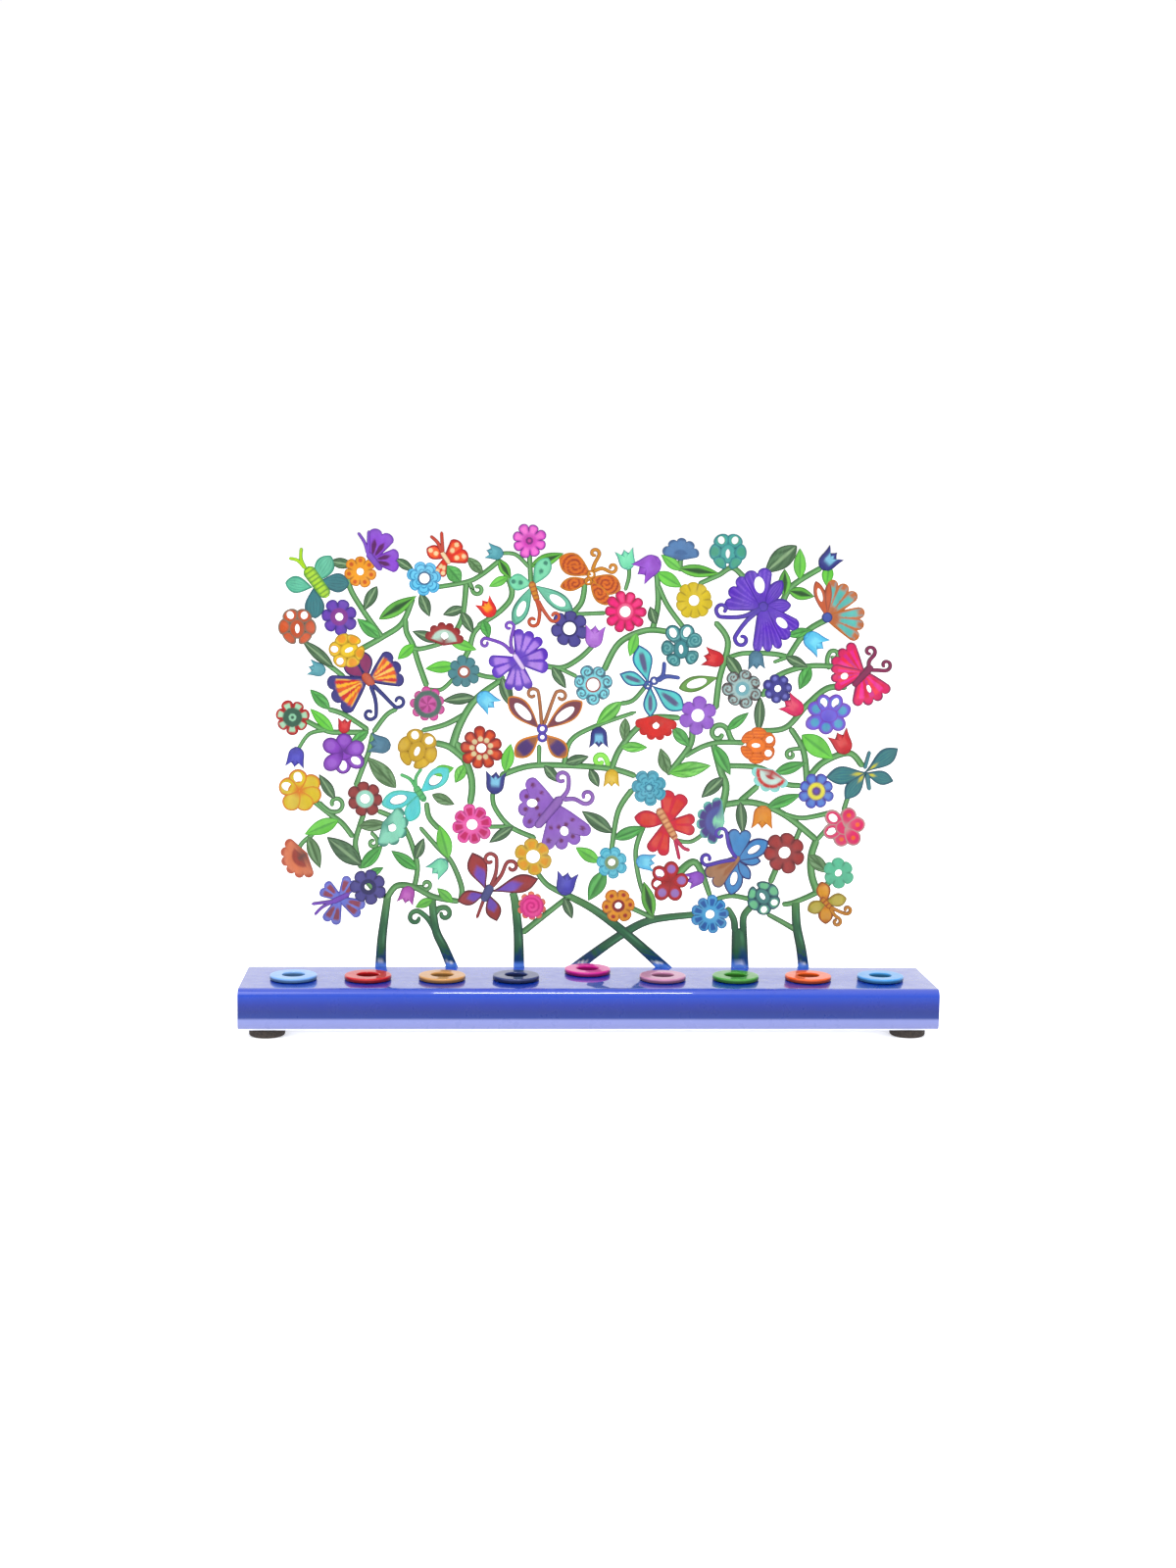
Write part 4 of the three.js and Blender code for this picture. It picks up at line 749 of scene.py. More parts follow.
def lobe(paint, x, h, tip_x, tip_h, width, loop):
    """One rounded lobe of a bloom, from the bloom's centre to the lobe's tip."""
    style = ORCHID_PAINT[paint]
    aim = math.atan2(tip_h - h, tip_x - x)
    length = math.hypot(tip_x - x, tip_h - h)
    centre = mix((x, h), (tip_x, tip_h), 0.62)
    outline, spine, sides = blade(x, h, tip_x, tip_h, width, 0.62, 0.5, steps=18)

    def colour(number, inward, depth, place):
        a = (place[0] - centre[0]) * math.cos(aim) + (place[1] - centre[1]) * math.sin(aim)
        c = (place[1] - centre[1]) * math.cos(aim) - (place[0] - centre[0]) * math.sin(aim)
        from_centre = math.hypot(a, c)
        result = mix(style["edge"], style["base"], smooth(0.05, 0.4, 0.62 + a / length))
        if "patch" in style:
            result = mix(style["patch"], result, smooth(0.24 * width, 0.32 * width, from_centre))
        if "spiral" in style:
            line = spiral_line(from_centre, math.atan2(c, a), 0.22 * width)
            result = mix(result, style["spiral"], 0.8 * line)
        if "dots" in style:
            result = mix(style["dots"], result, smooth(0.8, 1.2, from_centre))
        if "stripes" in style:
            stripe = math.sin(2 * math.pi * place[1] / 1.5)
            result = mix(result, style["stripes"], 0.8 * smooth(0.1, 0.7, stripe))
        return mix(style["edge"], result, smooth(0.4, 1.0, depth))

    opening = (min(0.32 * width, 0.25 * length), min(0.23 * width, 0.22 * length), aim) if loop else None
    bloom_sheet.cut_out(outline, centre, colour, 8, opening)


def bloom(paint, x, h, width, lobes, loops, slot):
    """An orchid from its lobes' tips. The slot is (x, h, angle), round the middle of its throat."""
    style = ORCHID_PAINT[paint]
    slot_x, slot_h, angle = slot or (x, h, 0)
    for tips, loop in ((lobes, False), (loops, True)):
        for tip in tips:
            away = 0.33 * width / math.dist((slot_x, slot_h), tip) if slot else 0
            lobe(paint, *mix((slot_x, slot_h), tip, away), *tip, width, loop)
    throat = oval(slot_x, slot_h, 0.62 * width, 0.5 * width, angle, 32)
    opening = (0.28 * width, 0.14 * width, math.radians(angle)) if slot else None

    def colour(number, inward, depth, place):
        return mix(style["edge"], style["base"], smooth(0.3, 0.9, depth))

    bloom_sheet.cut_out(throat, (slot_x, slot_h), colour, 5, opening)


def orchid(paint, x, h, radius, angle):
    """An even orchid: four full lobes, and two loops either side of its angle."""
    def tip(turned_by, reach):
        turn = math.radians(angle + turned_by)
        return (x + reach * radius * math.cos(turn), h + reach * radius * math.sin(turn))

    lobes = [tip(-143, 0.94), tip(143, 0.94), tip(-88, 0.97), tip(88, 0.97)]
    back = math.radians(angle)
    slot = (x - 0.1 * radius * math.cos(back), h - 0.1 * radius * math.sin(back), angle)
    bloom(paint, x, h, 0.84 * radius, lobes, [tip(-30, 1), tip(30, 1)], slot)


FAN_PAINT = {     # bands from the rim inwards: the share of the radius where each ends, and its colour
    "mint_fan": [(1, rgb(64, 128, 112)), (0.86, rgb(132, 204, 176)), (0.34, rgb(80, 150, 130))],
    "rust_fan": [(1, rgb(176, 84, 60)), (0.84, rgb(206, 120, 88)), (0.5, rgb(150, 66, 56)),
                 (0.28, rgb(96, 60, 56))],
    "maroon_fan": [(1, rgb(126, 30, 34)), (0.84, rgb(152, 50, 48)), (0.62, rgb(176, 206, 190)),
                   (0.3, rgb(130, 40, 44))],
    "blue_fan": [(1, rgb(64, 92, 132)), (0.86, rgb(84, 120, 164)), (0.4, rgb(66, 98, 142))],
    "red_fan": [(1, rgb(184, 36, 36)), (0.8, rgb(202, 46, 42)), (0.4, rgb(180, 52, 44))],
    "plum_fan": [(1, rgb(100, 176, 160)), (0.9, rgb(70, 56, 122)), (0.62, rgb(78, 84, 148)),
                 (0.32, rgb(134, 204, 166))],
    "tri_fan": [(1, rgb(138, 206, 198)), (0.78, rgb(188, 58, 54)), (0.6, rgb(190, 216, 206)),
                (0.34, rgb(168, 60, 60))],
}


def side_flower(paint, x, h, radius, petals, angle, hole_radius):
    """Half a flower seen from the side: painted bands round a narrow foot."""
    bands = FAN_PAINT[paint]
    spread = 175
    per_petal = 9
    steps = petals * per_petal
    outline = []
    for step in range(steps + 1):
        turn = math.radians(angle - spread / 2 + spread * step / steps)
        reach = radius * (0.84 + 0.16 * math.sin(math.pi * ((step / per_petal) % 1)) ** 0.6)
        outline.append((x + reach * math.cos(turn), h + reach * math.sin(turn)))
    back = math.radians(angle + 180)
    outline.append((x + radius * 0.18 * math.cos(back), h + radius * 0.18 * math.sin(back)))
    front = math.radians(angle)
    middle = (x + radius * 0.3 * math.cos(front), h + radius * 0.3 * math.sin(front))

    def colour(number, inward, depth, place):
        result = bands[0][1]
        for limit, band in bands[1:]:
            result = mix(band, result, smooth(limit - 0.04, limit + 0.04, math.dist(place, (x, h)) / radius))
        fold = abs(math.sin(math.pi * number / per_petal))
        result = mix(bands[0][1], result, 0.6 + 0.4 * smooth(0.1, 0.35, fold + inward))
        return mix(bands[0][1], result, smooth(0.2, 0.7, depth))

    bloom_sheet.cut_out(outline, middle, colour, 12, (hole_radius, hole_radius, 0) if hole_radius else None)


BUD_PAINT = {     # base, rim and heart
    "teal_bud": (rgb(82, 150, 162), rgb(52, 112, 128), rgb(96, 164, 174)),
    "red_bud": (rgb(188, 44, 52), rgb(140, 22, 36), rgb(206, 72, 72)),
    "indigo_bud": (rgb(76, 72, 166), rgb(46, 42, 122), rgb(92, 90, 184)),
    "slate_bud": (rgb(72, 112, 134), rgb(50, 88, 110), rgb(84, 124, 146)),
    "magenta_bud": (rgb(172, 84, 170), rgb(120, 50, 124), rgb(190, 108, 186)),
    "mint_bud": (rgb(118, 208, 166), rgb(62, 134, 132), rgb(132, 218, 178)),
    "flame_bud": (rgb(216, 62, 60), rgb(176, 34, 44), rgb(236, 156, 72)),
    "sky_bud": (rgb(96, 184, 220), rgb(66, 130, 184), rgb(120, 204, 228)),
    "navy_bud": (rgb(48, 52, 124), rgb(28, 30, 90), rgb(126, 186, 214)),
    "lilac_bud": (rgb(164, 104, 198), rgb(124, 66, 162), rgb(180, 126, 210)),
    "mustard_bud": (rgb(206, 170, 54), rgb(180, 142, 44), rgb(214, 182, 74)),
    "violet_bud": (rgb(142, 84, 186), rgb(108, 58, 156), rgb(150, 96, 196)),
    "pink_bud": (rgb(206, 54, 98), rgb(160, 24, 66), rgb(222, 86, 112)),
    "amber_bud": (rgb(208, 130, 50), rgb(178, 100, 38), rgb(214, 142, 60)),
}
# one side of a bud: shares of its length along and across, from its foot to its open mouth
BUD_OUTLINE = [(0, 0.1), (0.07, 0.21), (0.16, 0.31), (0.28, 0.37), (0.45, 0.395), (0.62, 0.4), (0.8, 0.42),
               (1, 0.46), (0.92, 0.35), (0.84, 0.26), (0.77, 0.2), (0.84, 0.12), (0.92, 0.05)]


def tulip(paint, x, h, size, angle):
    """A bud from its foot, opening towards the angle into three points."""
    base, rim, heart = BUD_PAINT[paint]
    turn = math.radians(angle)
    local = [(u, -v) for u, v in BUD_OUTLINE] + [(1, 0)] + BUD_OUTLINE[::-1]

    def place(u, v):
        return (x + size * (u * math.cos(turn) - v * math.sin(turn)),
                h + size * (u * math.sin(turn) + v * math.cos(turn)))

    outline = [place(u, v) for u, v in local]
    spine = [place(min(max(u, 0.14), 0.6), 0) for u, v in local]

    def colour(number, inward, depth, place):
        u, v = local[number]
        across = 1 - inward
        result = mix(base, heart, (1 - smooth(0.35, 0.6, across)) * smooth(0.25, 0.45, u))
        crease = abs(v) - 0.2
        result = mix(rim, result, 0.4 + 0.6 * smooth(0.0, 0.06, abs(crease)))
        return mix(rim, result, smooth(0.25, 0.8, depth))

    bloom_sheet.slab(outline, spine, colour, rings=7)


# ---------------------------------------------------------------- the panel's motifs
# Each motif has its paint first, then places in mm: x from the middle and h above the base's plate.

def stems():
    foot(5.2, 3.4, [(-95.2, 0), (-94.6, 14), (-92, 34)])
    foot(5, 3.4, [(-31.2, 0), (-31.6, 15), (-33.2, 30), (-34.4, 35)])
    foot(5, 3, [(-4.4, 0), (4, 6.6), (17, 15.8), (30, 22.3), (50, 25)])
    foot(5.4, 3.2, [(36.4, 0), (28, 7.6), (16, 18), (3, 27.5), (-8, 33.4)])
    foot(8.2, 7, [(72.3, 0), (71.6, 18.5)])
    vine("trunk", 3.4, 3, [(69.6, 17), (68.8, 23), (65.5, 28.5)])
    vine("trunk", 3.4, 3, [(73.6, 17), (73.6, 24.5), (78, 30)])
    foot(5, 3.8, [(102.4, 0), (101, 9), (98.6, 20), (97.8, 31)])
    foot(5, 3.4, [(-62.2, 0), (-66, 9), (-70, 18), (-71.8, 33)])


def vines():
    # up the left side
    vine("stem", 3, 2.6, [(-93, 33), (-98, 36), (-103, 42)])
    vine("stem", 3, 2.6, [(-92.6, 32), (-88, 38), (-80, 37.5), (-71, 33), (-59, 30.8)])
    vine("stem", 2.6, 2.4, [(-80, 37), (-78.5, 47), (-81, 57), (-84, 64), (-88, 69), (-97, 73)])
    vine("stem", 2.6, 2.6, [(-104, 46), (-105.5, 50), (-107, 58), (-105, 66), (-103, 72)])
    vine("stem", 2.4, 2.6, [(-127, 78), (-119, 71.5), (-113, 67), (-108, 60.5)])
    vine("stem", 2.2, 2, [(-126, 62), (-131, 58), (-134, 53)])
    vine("stem", 2.6, 2.4, [(-107, 84), (-104, 92), (-101, 100), (-99, 109)])
    vine("stem", 2.4, 2.6, [(-131, 115), (-120, 109.5), (-112, 109), (-101, 109)])
    vine("stem", 2, 1.8, [(-120, 110), (-128, 108), (-133, 101)])
    vine("stem", 2.4, 2.4, [(-119.5, 119.5), (-112, 117), (-101, 110)])
    vine("stem", 2.4, 2.2, [(-99, 109), (-93, 117), (-88, 120)])
    vine("stem", 2.4, 2.4, [(-124, 143), (-117, 138), (-112, 134)])
    vine("stem", 2.8, 2.6, [(-105.5, 146.5), (-95, 152.5), (-86, 159), (-81, 171)])
    vine("stem", 2.6, 2.6, [(-95, 152.5), (-104, 165), (-110, 176), (-109, 185)])
    vine("stem", 2.6, 2.8, [(-84.5, 161), (-84, 155), (-81, 149), (-78.5, 141), (-74.5, 130)])
    vine("stem", 2.4, 2, [(-82, 148), (-78, 147.4), (-72, 148.8), (-65, 151)])
    # between the left side and the middle
    vine("stem", 2.8, 2, [(-58.5, 30.8), (-58.2, 38), (-63, 49.5), (-69, 55.8), (-77.5, 65.5)])
    vine("stem", 2.6, 2.6, [(-74.5, 77), (-73.2, 70), (-68.5, 64.5)])
    vine("stem", 3.6, 3.2, [(-61, 105), (-55, 92), (-53.6, 84), (-54.6, 76)])
    vine("stem", 3, 3.2, [(-71, 104.5), (-64, 102.5), (-56, 96)])
    vine("stem", 2.2, 2.8, [(-77, 110), (-66, 113), (-55, 119)])
    vine("stem", 4, 2.6, [(-63, 102), (-59.5, 113), (-52, 125), (-39.5, 134.5)])
    vine("stem", 2, 2, [(-74, 129), (-68, 129), (-62.5, 134)])
    vine("stem", 2.2, 2.4, [(-53, 136.6), (-47, 135), (-39, 134.6)])
    vine("stem", 2.8, 2.2, [(-58.5, 142), (-55.5, 147.5), (-53, 155.5), (-46, 162)])
    vine("stem", 2.4, 3, [(-52, 158), (-41, 165.5), (-36.2, 174), (-42, 188.5)])
    vine("stem", 2.4, 2.8, [(-62, 155), (-58.5, 163), (-57, 178)])
    vine("stem", 2.2, 2.4, [(-71, 175.4), (-57, 178), (-50, 181.5), (-42, 188)])
    vine("stem", 1.8, 2, [(-43, 191), (-35, 190.8), (-28.5, 185)])
    vine("stem", 2.4, 2.4, [(-28.5, 191), (-27.6, 177)])
    vine("stem", 2.4, 2.4, [(-44.2, 82), (-43.2, 75), (-36, 66), (-24, 60.6)])
    vine("stem", 2, 2, [(-46, 65.8), (-36, 66)])
    vine("stem", 2.4, 3, [(-23.5, 45), (-18, 38.5), (-7, 33)])
    vine("stem", 3, 2.4, [(-30, 16), (-22, 22.5), (-9, 33)])
    # across the middle
    vine("stem", 2.8, 2.8, [(-41, 89.5), (-28, 94), (-12, 94.6), (10, 93.2), (22, 89.8)])
    vine("stem", 2.2, 2, [(-23, 104), (-23, 95)])
    vine("stem", 2.6, 1.8, [(-11.5, 95), (-8.5, 106), (2, 112.5), (21.5, 119.6)])
    vine("stem", 3, 2.6, [(10.4, 93), (14, 102), (21, 111), (29, 117), (42, 117)])
    vine("stem", 2.2, 2, [(14, 123.3), (20, 125), (26, 132)])
    vine("stem", 2.8, 2.4, [(20.5, 84), (13.8, 73), (11, 54)])
    vine("stem", 2.4, 2.2, [(26, 67), (22.4, 55), (24.6, 40), (29.5, 28), (31, 23)])
    vine("stem", 2.4, 2.4, [(20, 28.5), (31, 23.4)])
    vine("stem", 2.6, 2.4, [(-22, 140.5), (-13, 139.6), (-5, 144), (1.2, 150)])
    vine("stem", 2, 2, [(-14, 139.2), (-6, 135.5)])
    vine("stem", 2.6, 2.8, [(-3, 178), (-4.5, 169.5), (-10, 163)])
    vine("stem", 2, 2, [(-8, 164), (7, 164.8)])
    vine("stem", 2.8, 3, [(36, 156.5), (25, 157), (13, 151), (6, 138)])
    vine("stem", 2, 1.8, [(17, 186.5), (17, 181), (15.4, 175)])
    vine("stem", 2.6, 2.8, [(29.6, 185), (30.6, 169), (28, 156.5)])
    vine("stem", 2.4, 2.4, [(30.4, 178), (35, 168.5), (43, 158)])
    vine("stem", 2.4, 2.4, [(40.6, 193), (40.4, 184)])
    vine("stem", 2.2, 2.8, [(49, 178.5), (58, 182.6), (65, 186), (73, 178)])
    vine("stem", 2.8, 3, [(57, 161.5), (63.2, 152), (59.6, 135), (58.2, 121)])
    vine("stem", 3, 2.8, [(47.5, 112), (46.5, 104), (36.5, 90.5)])
    vine("stem", 2.2, 2.6, [(44, 99), (52, 103.6), (60, 105.8), (72, 105.8)])
    vine("stem", 3.2, 3.8, [(57.5, 105), (61, 93), (63.8, 84), (60, 67.5)])
    vine("stem", 2, 2, [(40, 60.3), (48, 59.4), (55.5, 64.5)])
    vine("stem", 4, 2.4, [(42, 44), (50.5, 49.6), (57.8, 33)])
    vine("stem", 2.2, 2.4, [(60.5, 32.5), (68, 34), (78, 32)])
    # up the right side
    vine("stem", 2.4, 2.8, [(91.5, 30), (97, 31), (108, 36), (115, 42)])
    vine("stem", 2.8, 2.2, [(99, 17.5), (92, 21.5), (84.5, 25.5)])
    vine("stem", 2.8, 2.8, [(85.5, 40), (88.5, 47.5)])
    vine("stem", 3.6, 3.4, [(108, 35.5), (105, 44), (104.6, 53), (107, 61)])
    vine("stem", 3, 3.2, [(62, 76.6), (76, 78), (91, 72.6), (107, 60.4)])
    vine("stem", 2.2, 2.4, [(91, 72.8), (100, 70.8), (113, 73.4)])
    vine("stem", 2.2, 2, [(107, 60.4), (112, 66.5)])
    vine("stem", 2.4, 2.4, [(99.4, 66.6), (96.8, 60)])
    vine("stem", 3, 2.8, [(70, 78), (79, 86)])
    vine("stem", 2.6, 2.6, [(64, 95), (80, 94), (91, 87), (99, 86)])
    vine("stem", 2.8, 3, [(93, 113), (99.6, 102), (101.6, 87)])
    vine("stem", 3, 3, [(102.5, 90), (109, 97), (121, 101.4), (127.6, 95)])
    vine("stem", 2.2, 2.2, [(121.5, 82.5), (119, 74)])
    vine("stem", 2.6, 3, [(79, 111.4), (91, 113), (101, 124), (110, 131.4), (119, 132)])
    vine("stem", 2.6, 2.6, [(79.5, 127), (86, 136.4), (100, 141.4), (115, 141.4)])
    vine("stem", 2.2, 2.6, [(61.5, 144), (70, 147), (84, 147), (92, 145.4)])
    vine("stem", 2, 1.6, [(91, 145.6), (84.4, 143)])
    vine("stem", 2.6, 3, [(91, 145), (99, 157), (109.5, 163.5)])
    vine("stem", 3, 2.6, [(87.5, 169), (92, 178), (106, 187)])


def tendrils():
    curl("trunk", 2.8, 2, [(-69.6, 16), (-73, 22)], -79.2, 23, 3.5, 1)
    curl("trunk", 2.8, 2, [(-71, 24), (-69, 27)], -66, 25, 3.2, -1)
    curl("stem", 2.2, 1.8, [(-81, 36.6), (-77, 37.6)], -74.4, 38.6, 2.4, 1)
    curl("stem", 2.2, 2, [(-124, 77), (-120, 73.4)], -116, 76, 4, 1)
    curl("stem", 2.2, 2, [(-55.6, 178), (-54.4, 175.2)], -51.8, 174.8, 2.6, 1)
    curl("lime", 2.6, 2.2, [(9.6, 93), (8.6, 96)], 5, 97, 3, 1)
    curl("stem", 2.8, 2.2, [(67.6, 105), (65.4, 108)], 59.8, 110, 4.4, 1)
    curl("stem", 2.2, 2, [(110.4, 140), (109.4, 144)], 112.6, 146.6, 2.6, -1)
    curl("stem", 2, 1.8, [(-100, 63), (-97.6, 60.6)], -99, 58, 2.2, -1)
    curl("stem", 2, 1.8, [(61, 48), (59.4, 46)], 61, 44, 2, 1)
    curl("stem", 2, 1.8, [(98.6, 103.4), (95, 103)], 93.6, 100.4, 2.2, 1)


def leaves():
    leaf("deep", -118.5, 186.4, -107.5, 184.8, 5)
    leaf("deep", -89, 188, -80.5, 182.5, 4.4)
    leaf("deep", -97.4, 175.6, -103.4, 164.4, 5.4)
    leaf("mid", -95.8, 152, -106.4, 160.8, 6)
    leaf("twotone", -96.5, 160.6, -79.5, 171.4, 6.4)
    leaf("bright", -80.5, 149.5, -88, 142.5, 5)
    leaf("deep", -77.8, 172.6, -73.5, 162, 5.4)
    leaf("deep", -117, 138.6, -131.4, 151, 5.4)
    leaf("deep", -69, 151, -81.4, 155.4, 5)
    leaf("mid", -118.6, 119.4, -127.6, 128.4, 5.4)
    leaf("bright", -117, 109.4, -127.6, 119.6, 5)
    leaf("mid", -101, 109.8, -109.6, 103.4, 4.6)
    leaf("veined", -88.4, 83.6, -101.6, 97.6, 7.8)
    leaf("deep", -116.4, 78.2, -123.6, 89.6, 5)
    leaf("bright", -114.6, 68.6, -130.2, 61.8, 7)
    leaf("veined", -128.4, 61, -123, 46, 6)
    leaf("deep", -104, 47.6, -120, 60.6, 8.6)
    leaf("mid", -104.6, 46, -94.4, 57, 6)
    leaf("veined", -105.6, 65.8, -91.6, 66.6, 5.6)
    leaf("mid", -78.4, 45.6, -90.6, 54.4, 5.6)
    leaf("mid", -102.4, 42.2, -94, 46.6, 4)
    leaf("deep", -79.4, 50.6, -75.6, 60.4, 5)
    leaf("bright", -64.2, 51, -68.6, 66.6, 7)
    leaf("bright", -62, 30.4, -69.4, 37, 4.6)
    leaf("bright", -71.4, 31.8, -79.4, 28, 4.4)
    leaf("mid", -59.6, 178, -66, 185.4, 7)
    leaf("veined", -49.6, 182, -57, 189.4, 5)
    leaf("deep", -58, 166.4, -67.6, 163, 4.8)
    leaf("deep", -59, 164.6, -53.6, 154.6, 5)
    leaf("mid", -49.4, 161, -46.4, 152.6, 5)
    leaf("bright", -38, 180.6, -46.8, 176, 4.4)
    leaf("twotone", -42.4, 188.4, -36.8, 179.6, 5)
    leaf("twotone", -28, 185.4, -13, 191.6, 6)
    leaf("bright", -64.6, 151.4, -52, 147.2, 5.2)
    leaf("bright", -61.5, 140, -75.4, 138.4, 5.6)
    leaf("deep", -52.6, 125.6, -67.4, 123.8, 5.4)
    leaf("deep", -40.6, 135, -36, 121, 6)
    leaf("bright", -38.6, 91.4, -36, 104.4, 6)
    leaf("bright", -72, 90.5, -62, 93, 5.4)
    leaf("striped", -57, 94.6, -61.4, 86, 5.4)
    leaf("veined", -72, 80.6, -61.6, 76, 5)
    leaf("deep", -34.6, 66, -45.6, 58.4, 5)
    leaf("deep", -20.6, 94.6, -13.6, 86.6, 5)
    leaf("deep", -11, 95.6, 0, 98.8, 5)
    leaf("deep", 0.4, 93, 4.8, 84.6, 4.8)
    leaf("deep", -10.6, 33, -6.6, 22.8, 4.8)
    leaf("deep", 11.5, 63.4, -3, 73.4, 6.8)
    leaf("mid", 12, 60.6, 26.6, 66.2, 6)
    leaf("bright", 5.6, 49.6, -5.6, 56.4, 6)
    leaf("mid", 8.4, 45.6, 0.6, 31.4, 7.6)
    leaf("twotone", 30.8, 24, 26.4, 40.6, 6.6)
    leaf("striped", 14.6, 124.2, 3, 113.4, 6.4)
    leaf("veined", 16.6, 116.6, 16, 105.6, 5)
    leaf("striped", 14.4, 103.4, 27, 103.2, 5)
    leaf("deep", -17.6, 140, -11, 130, 5)
    leaf("mid", 38.6, 112.6, 46.6, 103.6, 6)
    leaf("striped", 37, 91.4, 56.6, 95, 7.4)
    leaf("veined", 36.6, 91, 33, 103, 6)
    leaf("mid", 57.8, 104.6, 65.8, 90.6, 6.4)
    leaf("deep", 62.6, 89.6, 52.4, 80, 6)
    leaf("mid", 63.6, 111.6, 73.6, 119.8, 4.4)
    leaf("bright", 21, 156, 18, 145, 5)
    leaf("deep", 29.6, 160, 27, 168, 5)
    leaf("bright", 41, 184.6, 31.6, 191.6, 5)
    leaf("bright", 29.8, 183.6, 41.4, 177, 6.4)
    leaf("twotone", 39.6, 185.4, 58.6, 183.4, 6)
    leaf("deep", 62.6, 146, 70.6, 135, 6)
    leaf("deep", 90, 145.8, 100.6, 141, 5)
    leaf("mid", 101.6, 141.6, 96.8, 130.6, 6)
    leaf("mid", 90.6, 155.4, 102, 158.4, 4.6)
    leaf("deep", 93.8, 196.6, 79.4, 184, 9.4)
    leaf("bright", 95.6, 181.4, 95.4, 195.4, 5.8)
    leaf("twotone", 88.8, 173.6, 88.6, 186, 6)
    leaf("twotone", 90.6, 176, 102.6, 173.4, 6)
    leaf("bright", 109, 188, 108, 178.4, 5.4)
    leaf("deep", 78.8, 127, 78.4, 110, 5.2)
    leaf("bright", 98.6, 109.6, 113.6, 98.6, 9.4)
    leaf("mid", 86.4, 91.8, 101, 96.8, 5.6)
    leaf("mid", 83, 75.6, 99, 82, 5.6)
    leaf("deep", 70.6, 78.4, 72.2, 63, 5.4)
    leaf("veined", 103, 53.6, 113, 45, 6.4)


def flowers():
    flower("sky", -76, 179.4, 8.3, 7, 2.3)
    flower("orange_spots", -105, 182, 7.6, 7, 1.6)
    flower("orchid_violet", -114.4, 161.5, 8.6, 7, 1.8)
    flower("strawberry", -135.5, 115.6, 8.2, 7, 0)
    flower("maroon", -102.6, 78.4, 8.6, 7, 2.2)
    flower("navy", -101, 37.6, 8.8, 7, 1.7)
    flower("purple", -28.6, 197, 8.2, 8, 0)
    flower("teal_grey", -57.8, 137.2, 7.8, 8, 1.8)
    flower("rose_ring", -74.2, 122.2, 8.4, 9, 0)
    flower("brick", -49.5, 102.2, 10.4, 9, 2.2)
    flower("carnation", -53.5, 66.8, 9.8, 8, 2.5)
    flower("gold", -25.2, 52, 9, 6, 3.1)
    flower("peony", -25.6, 28.8, 7, 10, 0)
    flower("aqua", 11.3, 49.5, 7.8, 7, 1.7)
    flower("orange_dots", 14.7, 29.2, 8.3, 6, 1.6)
    flower("blue_petals", 57.7, 25.2, 9.4, 9, 2.1)
    flower("teal_layers", 28, 84.6, 8.7, 7, 0)
    flower("lavender", 50, 118.2, 9.2, 6, 3)
    flower("scrolls", 1.4, 131.9, 9.5, 7, 2.8)
    flower("navy", -9.8, 157.5, 9, 7, 2.9)
    flower("crimson", 15.6, 165.5, 10.2, 10, 2.5)
    flower("mustard", 47.1, 171, 8.9, 10, 2.4)
    flower("filigree", 70.3, 130.8, 9.6, 7, 1.6)
    flower("indigo_side", 86.8, 131, 7.2, 7, 1.6)
    flower("target", 106, 83.5, 8.8, 8, 0)
    flower("maroon_big", 92, 54.5, 10.2, 7, 2.8)
    flower("mint", 117.6, 45, 7.6, 6, 1.7)


def orchids():
    orchid("rust", -133.3, 156.8, 8.8, 90)
    orchid("sunny", -110.8, 146.2, 8.4, 205)
    bloom("amethyst", -112.4, 99.8, 7.4, [(-112, 108.6), (-121.6, 104.6), (-103, 103), (-120.8, 92)],
          [(-112.8, 89.8), (-103.4, 93.6)], None)
    bloom("tangerine", -132.5, 82, 8.4, [(-123.6, 87.6), (-122.6, 79), (-128.4, 73), (-138.4, 73.4)],
          [(-133.6, 91.8), (-141.6, 85)], None)
    orchid("ochre", -78.6, 101.4, 9.6, 70)
    bloom("teal", 41.4, 150.2, 7.2, [(50.6, 154.8), (32.4, 149.4), (49, 143.4), (36.8, 141.4)],
          [(36, 159.4), (45.2, 160)], (41.6, 148.6, 95))
    orchid("sea", 62.2, 193.4, 8.8, 90)
    bloom("poppy", 38.6, 40.8, 7, [(39.4, 50.2), (47.2, 41.6), (42.4, 31.8), (32.8, 32.2)],
          [(30.8, 46.8), (29.8, 38.8)], None)
    orchid("teal_green", 82.6, 33.2, 8.2, 305)
    bloom("bluebell", 110.8, 118.8, 7,
          [(121, 122.6), (101.2, 123.6), (100.4, 113.6), (109, 110), (118.2, 112.8)],
          [(107, 128.4), (115.6, 128.4)], None)
    orchid("pumpkin", 78.2, 104.5, 8.8, -4)
    bloom("dotted_pink", 119.8, 66.6, 7.4, [(122.6, 75.8), (129.4, 68.8), (126.4, 58.8), (117.6, 57.6)],
          [(111, 73.6), (110, 63.4)], None)


def side_flowers():
    side_flower("mint_fan", -93, 66.6, 10.4, 5, -28, 1.9)
    side_flower("rust_fan", -130.6, 52, 10.6, 6, 213, 0)
    side_flower("maroon_fan", -67, 150.6, 9.2, 6, 84, 1.7)
    side_flower("blue_fan", 40.4, 190.6, 8.8, 5, 86, 0)
    side_flower("red_fan", 30.8, 116.4, 10, 6, 268, 1.6)
    side_flower("plum_fan", 61.6, 69, 11.4, 6, 174, 0)
    side_flower("tri_fan", 85, 92, 9.4, 5, 248, 0)


